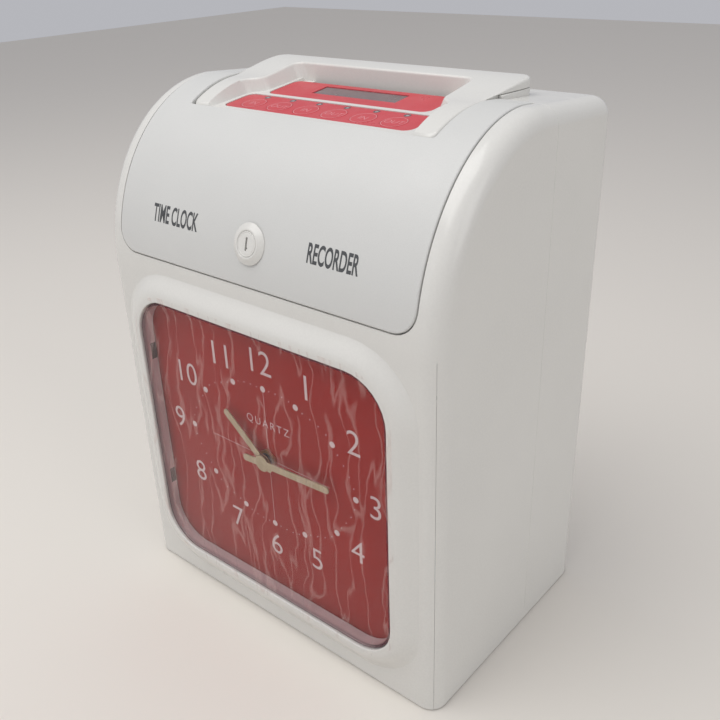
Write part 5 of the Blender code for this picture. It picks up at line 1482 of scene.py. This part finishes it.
def numeral_place(hour):
    """Millimetres right of and above the hub, from one quarter of the dial mirrored twice."""
    x, z = NUMERAL_QUARTER[min(hour % 6, 6 - hour % 6)]
    angle = hour * pi / 6
    return copysign(x, sin(angle)), copysign(z, cos(angle))


HOUR_TRACK = (41.8, 45.0, 53.0, 59.6, 53.0, 45.0)


def track(angle):
    """The rounded-square path of the dots round the hub, by angle from twelve."""
    share = angle / (pi / 6)
    k = int(share + 1e-6)
    first, second = HOUR_TRACK[k % 6], HOUR_TRACK[(k + 1) % 6]
    t = share - k
    t = t * t * (3 - 2 * t)
    return (first + (second - first) * t) * MM


def dial_pieces():
    s = sizes()
    dress("dial_plate", "dial")
    prints = []
    for k in range(60):
        angle = 2 * pi * k / 60
        radius = track(angle)
        size = s.hour_dot if k % 5 == 0 else s.minute_dot
        dot = bmesh.new()
        bmesh.ops.create_cone(
            dot, cap_ends=True, segments=28 if k % 5 == 0 else 12, radius1=size, radius2=size, depth=INK
        )
        prints.append(on_dial(dot, radius * sin(angle), HUB.z + radius * cos(angle)))
    for angle, half in ((0, WINDOW_HALF * 0.5), (pi / 2, WINDOW_TALL * 0.5)):
        line = block((-half, -0.09 * MM, -INK / 2), (half, 0.09 * MM, INK / 2))
        prints.append(on_dial(line, 0, HUB.z, angle))
    middle = HUB.z + 0.5 * MM
    for hour in range(1, 13):
        x, z = numeral_place(hour)
        bm = word(str(hour), s.numeral_height, INK, squeeze=0.98, weight=-0.006)
        prints.append(on_dial(bm, x * MM, middle + z * MM))
    bm = word(s.dial_word, 5.2 * MM, INK, squeeze=1.0, weight=-0.015, spread=1.3)
    prints.append(on_dial(bm, 1.2 * MM, HUB.z + 21 * MM))
    piece("dial_print", merged(*prints), "numerals", "case", weighted=False)


def hand_piece(name, body, y, tip, tail, width, angle, thick):
    """A bevelled baton with a round hub, pressed on its arbor and pointing at its rest angle."""
    hub = 4.8 * MM
    half = width / 2
    baton = slab(half, (tip + tail) / 2, half * 0.98, thick, 0.0, 6)
    bmesh.ops.translate(baton, verts=baton.verts, vec=(0, (tip - tail) / 2, 0))
    disc = rod((0, 0, -thick), (0, 0, 0), hub, 64)
    hand = combined(baton, "UNION", disc)
    bmesh.ops.dissolve_limit(
        hand, angle_limit=radians(0.5), verts=hand.verts, edges=hand.edges, delimit=set()
    )
    upper = [e for e in sharp_edges(hand, 60) if min(v.co.z for v in e.verts) > -1e-6]
    soften(hand, upper, 0.22 * MM, 2)
    crown = turned([(0, 0.2 * MM), (1.2 * MM, 0.15 * MM), (1.6 * MM, -0.05 * MM), (1.6 * MM, -0.4 * MM),
                    (0, -0.4 * MM)][::-1], 40)
    if body == "minute":
        hand = combined(hand, "UNION", crown)
    else:
        crown.free()
    upright = Matrix.Rotation(angle, 4, "Y") @ Matrix.Rotation(pi / 2, 4, "X")
    moved(hand, shift(HUB.x, y, HUB.z) @ upright)
    return piece(name, hand, "hands", body, [f"{body}_hand"], angle=24)


def hand_pieces():
    minute_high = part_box("minute_hand")[1]
    hour_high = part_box("hour_hand")[1]
    thick = 0.6 * MM
    hand_piece("minute_baton", "minute", HUB.y, 47 * MM, 14 * MM, 4.2 * MM, radians(86.7), thick)
    hour_y = JOINTS["hour_turn"]["pos_m"][1]
    hand_piece("hour_baton", "hour", hour_y, 35.2 * MM, 6.5 * MM, 4.4 * MM, radians(310), thick)
    arbor = rod((0, HUB.y + 0.2 * MM, HUB.z), (0, minute_high.y, HUB.z), 0.9 * MM, 24)
    piece("minute_arbor", arbor, "steel", "minute")
    sleeve = rod((0, hour_y + 0.3 * MM, HUB.z), (0, hour_high.y, HUB.z), 2.2 * MM, 32)
    bore = rod((0, hour_y - MM, HUB.z), (0, hour_high.y + MM, HUB.z), 1.3 * MM, 32)
    piece("hour_sleeve", combined(sleeve, "DIFFERENCE", bore), "brass", "hour")


# Pieces: inner finish, feet and electrics

PLAIN_FINISHES = {
    "carrier": ("dial_carrier",),
    "steel": (
        "base_plate", "hinge_bracket_left", "hinge_bracket_right", "hinge_pin_left", "hinge_pin_right",
        "lock_cam", "mech_side_left", "mech_side_right", "mech_tie_plate", "guide_shaft",
        "lead_screw", "card_chute_front", "card_chute_rear", "feed_shaft", "rear_screw_left",
        "rear_screw_right", "lock_nut",
    ),
    "brass": ("movement_nut",),
    "black": (
        "quartz_movement", "print_carriage", "print_head", "ribbon_cassette", "ribbon_knob",
        "feed_pulley", "motor_pulley", "power_inlet",
    ),
    "motor": ("carriage_motor", "feed_motor", "transformer"),
    "rubber": (
        "feed_roller", "pinch_roller", "feed_belt", "foot_front_left", "foot_front_right",
        "foot_rear_left", "foot_rear_right",
    ),
    "board": ("keypad_board", "main_board"),
    "display": ("lcd_module",),
    "ink": ("ribbon_band",),
    "cell": ("battery_pack",),
}


def inner_pieces():
    for name, nodes in PLAIN_FINISHES.items():
        for node in nodes:
            dress(node, name)


def stage_pieces():
    bm = bmesh.new()
    bmesh.ops.create_grid(bm, x_segments=1, y_segments=1, size=3.0)
    mesh = bpy.data.meshes.new("floor")
    bm.to_mesh(mesh)
    bm.free()
    floor = bpy.data.objects.new("floor", mesh)
    bpy.context.scene.collection.objects.link(floor)
    tone = bpy.data.materials.new("floor_paper")
    tone.use_nodes = True
    tone.node_tree.nodes["Principled BSDF"].inputs["Base Color"].default_value = (0.80, 0.76, 0.70, 1)
    tone.node_tree.nodes["Principled BSDF"].inputs["Roughness"].default_value = 0.85
    mesh.materials.append(tone)
    world = bpy.data.worlds.new("studio")
    world.use_nodes = True
    world.node_tree.nodes["Background"].inputs["Color"].default_value = (0.93, 0.94, 1.0, 1)
    world.node_tree.nodes["Background"].inputs["Strength"].default_value = 0.50
    bpy.context.scene.world = world
    lights = (
        ("lamp_overhead", (-0.25, -0.45, 1.35), 10.0, 1.1, (1.0, 0.985, 0.96)),
        ("lamp_side", (1.5, -0.15, 0.85), 3.5, 0.9, (1.0, 0.98, 0.95)),
        ("lamp_front", (-0.9, -1.5, 0.7), 1.5, 1.0, (0.97, 0.98, 1.0)),
    )
    for name, place, power, size, tint in lights:
        light = bpy.data.lights.new(name, "AREA")
        light.energy = power
        light.size = size
        light.color = tint
        lamp = bpy.data.objects.new(name, light)
        lamp.location = place
        aim = Vector((0, 0, 0.14)) - Vector(place)
        lamp.rotation_euler = aim.to_track_quat("-Z", "Y").to_euler()
        bpy.context.scene.collection.objects.link(lamp)
    view = bpy.data.cameras.new("camera")
    view.lens = 42.86
    view.sensor_width = 36.0
    view.clip_start = 0.01
    camera = bpy.data.objects.new("camera", view)
    turn, tip, roll = radians(40.82), radians(26.93), radians(-2.05)
    back = Vector((sin(turn) * cos(tip), -cos(turn) * cos(tip), sin(tip)))
    side = Vector((0, 0, 1)).cross(back).normalized()
    up = back.cross(side)
    across = side * cos(roll) + up * sin(roll)
    upward = up * cos(roll) - side * sin(roll)
    camera.matrix_world = Matrix.Translation((0.28521, -0.3196, 0.35838)) @ Matrix(
        (across, upward, back)
    ).transposed().to_4x4()
    bpy.context.scene.collection.objects.link(camera)
    bpy.context.scene.camera = camera
    bpy.context.scene.view_settings.view_transform = "Standard"


# Operators and panel


class PieceOperator:
    bl_options = {"REGISTER", "UNDO"}

    def execute(self, context):
        self.build()
        return {"FINISHED"}


class CLOCK_OT_shells(PieceOperator, bpy.types.Operator):
    """Make the front and rear shells"""

    bl_idname = "clock.shells"
    bl_label = "Shells"

    def build(self):
        front_shell()
        rear_shell()


class CLOCK_OT_lid(PieceOperator, bpy.types.Operator):
    """Make the lid with its words"""

    bl_idname = "clock.lid"
    bl_label = "Lid"

    def build(self):
        path = LidPath()
        lid_piece(path)
        lid_words(path)


class CLOCK_OT_lock(PieceOperator, bpy.types.Operator):
    """Make the lock's barrel, plug and keyway"""

    bl_idname = "clock.lock"
    bl_label = "Lock"

    def build(self):
        lock_pieces()


class CLOCK_OT_collar(PieceOperator, bpy.types.Operator):
    """Make the raised surround of the keypad and card slot"""

    bl_idname = "clock.collar"
    bl_label = "Collar"

    def build(self):
        collar_piece()


class CLOCK_OT_keypad(PieceOperator, bpy.types.Operator):
    """Make the keypad's film, keys and lamps"""

    bl_idname = "clock.keypad"
    bl_label = "Keypad"

    def build(self):
        keypad_pieces()


class CLOCK_OT_display(PieceOperator, bpy.types.Operator):
    """Make the display's film and pane"""

    bl_idname = "clock.display"
    bl_label = "Display"

    def build(self):
        display_pieces()


class CLOCK_OT_window(PieceOperator, bpy.types.Operator):
    """Make the clear lens and the film over it"""

    bl_idname = "clock.window"
    bl_label = "Window"

    def build(self):
        lens_piece()
        film_piece()


class CLOCK_OT_dial(PieceOperator, bpy.types.Operator):
    """Finish and print the dial"""

    bl_idname = "clock.dial"
    bl_label = "Dial"

    def build(self):
        dial_pieces()


class CLOCK_OT_hands(PieceOperator, bpy.types.Operator):
    """Make the hour and minute hands"""

    bl_idname = "clock.hands"
    bl_label = "Hands"

    def build(self):
        hand_pieces()


class CLOCK_OT_inner(PieceOperator, bpy.types.Operator):
    """Finish the mechanism, electrics, fasteners and feet"""

    bl_idname = "clock.inner"
    bl_label = "Inner parts"

    def build(self):
        inner_pieces()


class CLOCK_OT_stage(PieceOperator, bpy.types.Operator):
    """Make the floor, the lights and the camera"""

    bl_idname = "clock.stage"
    bl_label = "Stage"

    def build(self):
        stage_pieces()


STEPS = (
    CLOCK_OT_stage,
    CLOCK_OT_shells,
    CLOCK_OT_lid,
    CLOCK_OT_lock,
    CLOCK_OT_collar,
    CLOCK_OT_keypad,
    CLOCK_OT_display,
    CLOCK_OT_window,
    CLOCK_OT_dial,
    CLOCK_OT_hands,
    CLOCK_OT_inner,
)


class CLOCK_PT_panel(bpy.types.Panel):
    """Sizes, colours and pieces of the time clock"""

    bl_idname = "CLOCK_PT_panel"
    bl_label = "Time clock"
    bl_space_type = "VIEW_3D"
    bl_region_type = "UI"
    bl_category = "Time clock"

    def draw(self, context):
        for group in (context.scene.clock_sizes, context.scene.clock_colours):
            column = self.layout.column()
            for name in group.bl_rna.properties.keys():
                if name not in ("rna_type", "name"):
                    column.prop(group, name)
        for step in STEPS:
            self.layout.operator(step.bl_idname)


CLASSES = (ClockSizes, ClockColours, *STEPS, CLOCK_PT_panel)


def register():
    for each in CLASSES:
        bpy.utils.register_class(each)
    bpy.types.Scene.clock_sizes = PointerProperty(type=ClockSizes)
    bpy.types.Scene.clock_colours = PointerProperty(type=ClockColours)


def unregister():
    del bpy.types.Scene.clock_sizes
    del bpy.types.Scene.clock_colours
    for each in reversed(CLASSES):
        bpy.utils.unregister_class(each)


def main():
    register()
    for step in STEPS:
        group, name = step.bl_idname.split(".")
        getattr(getattr(bpy.ops, group), name)()


if __name__ == "__main__":
    main()
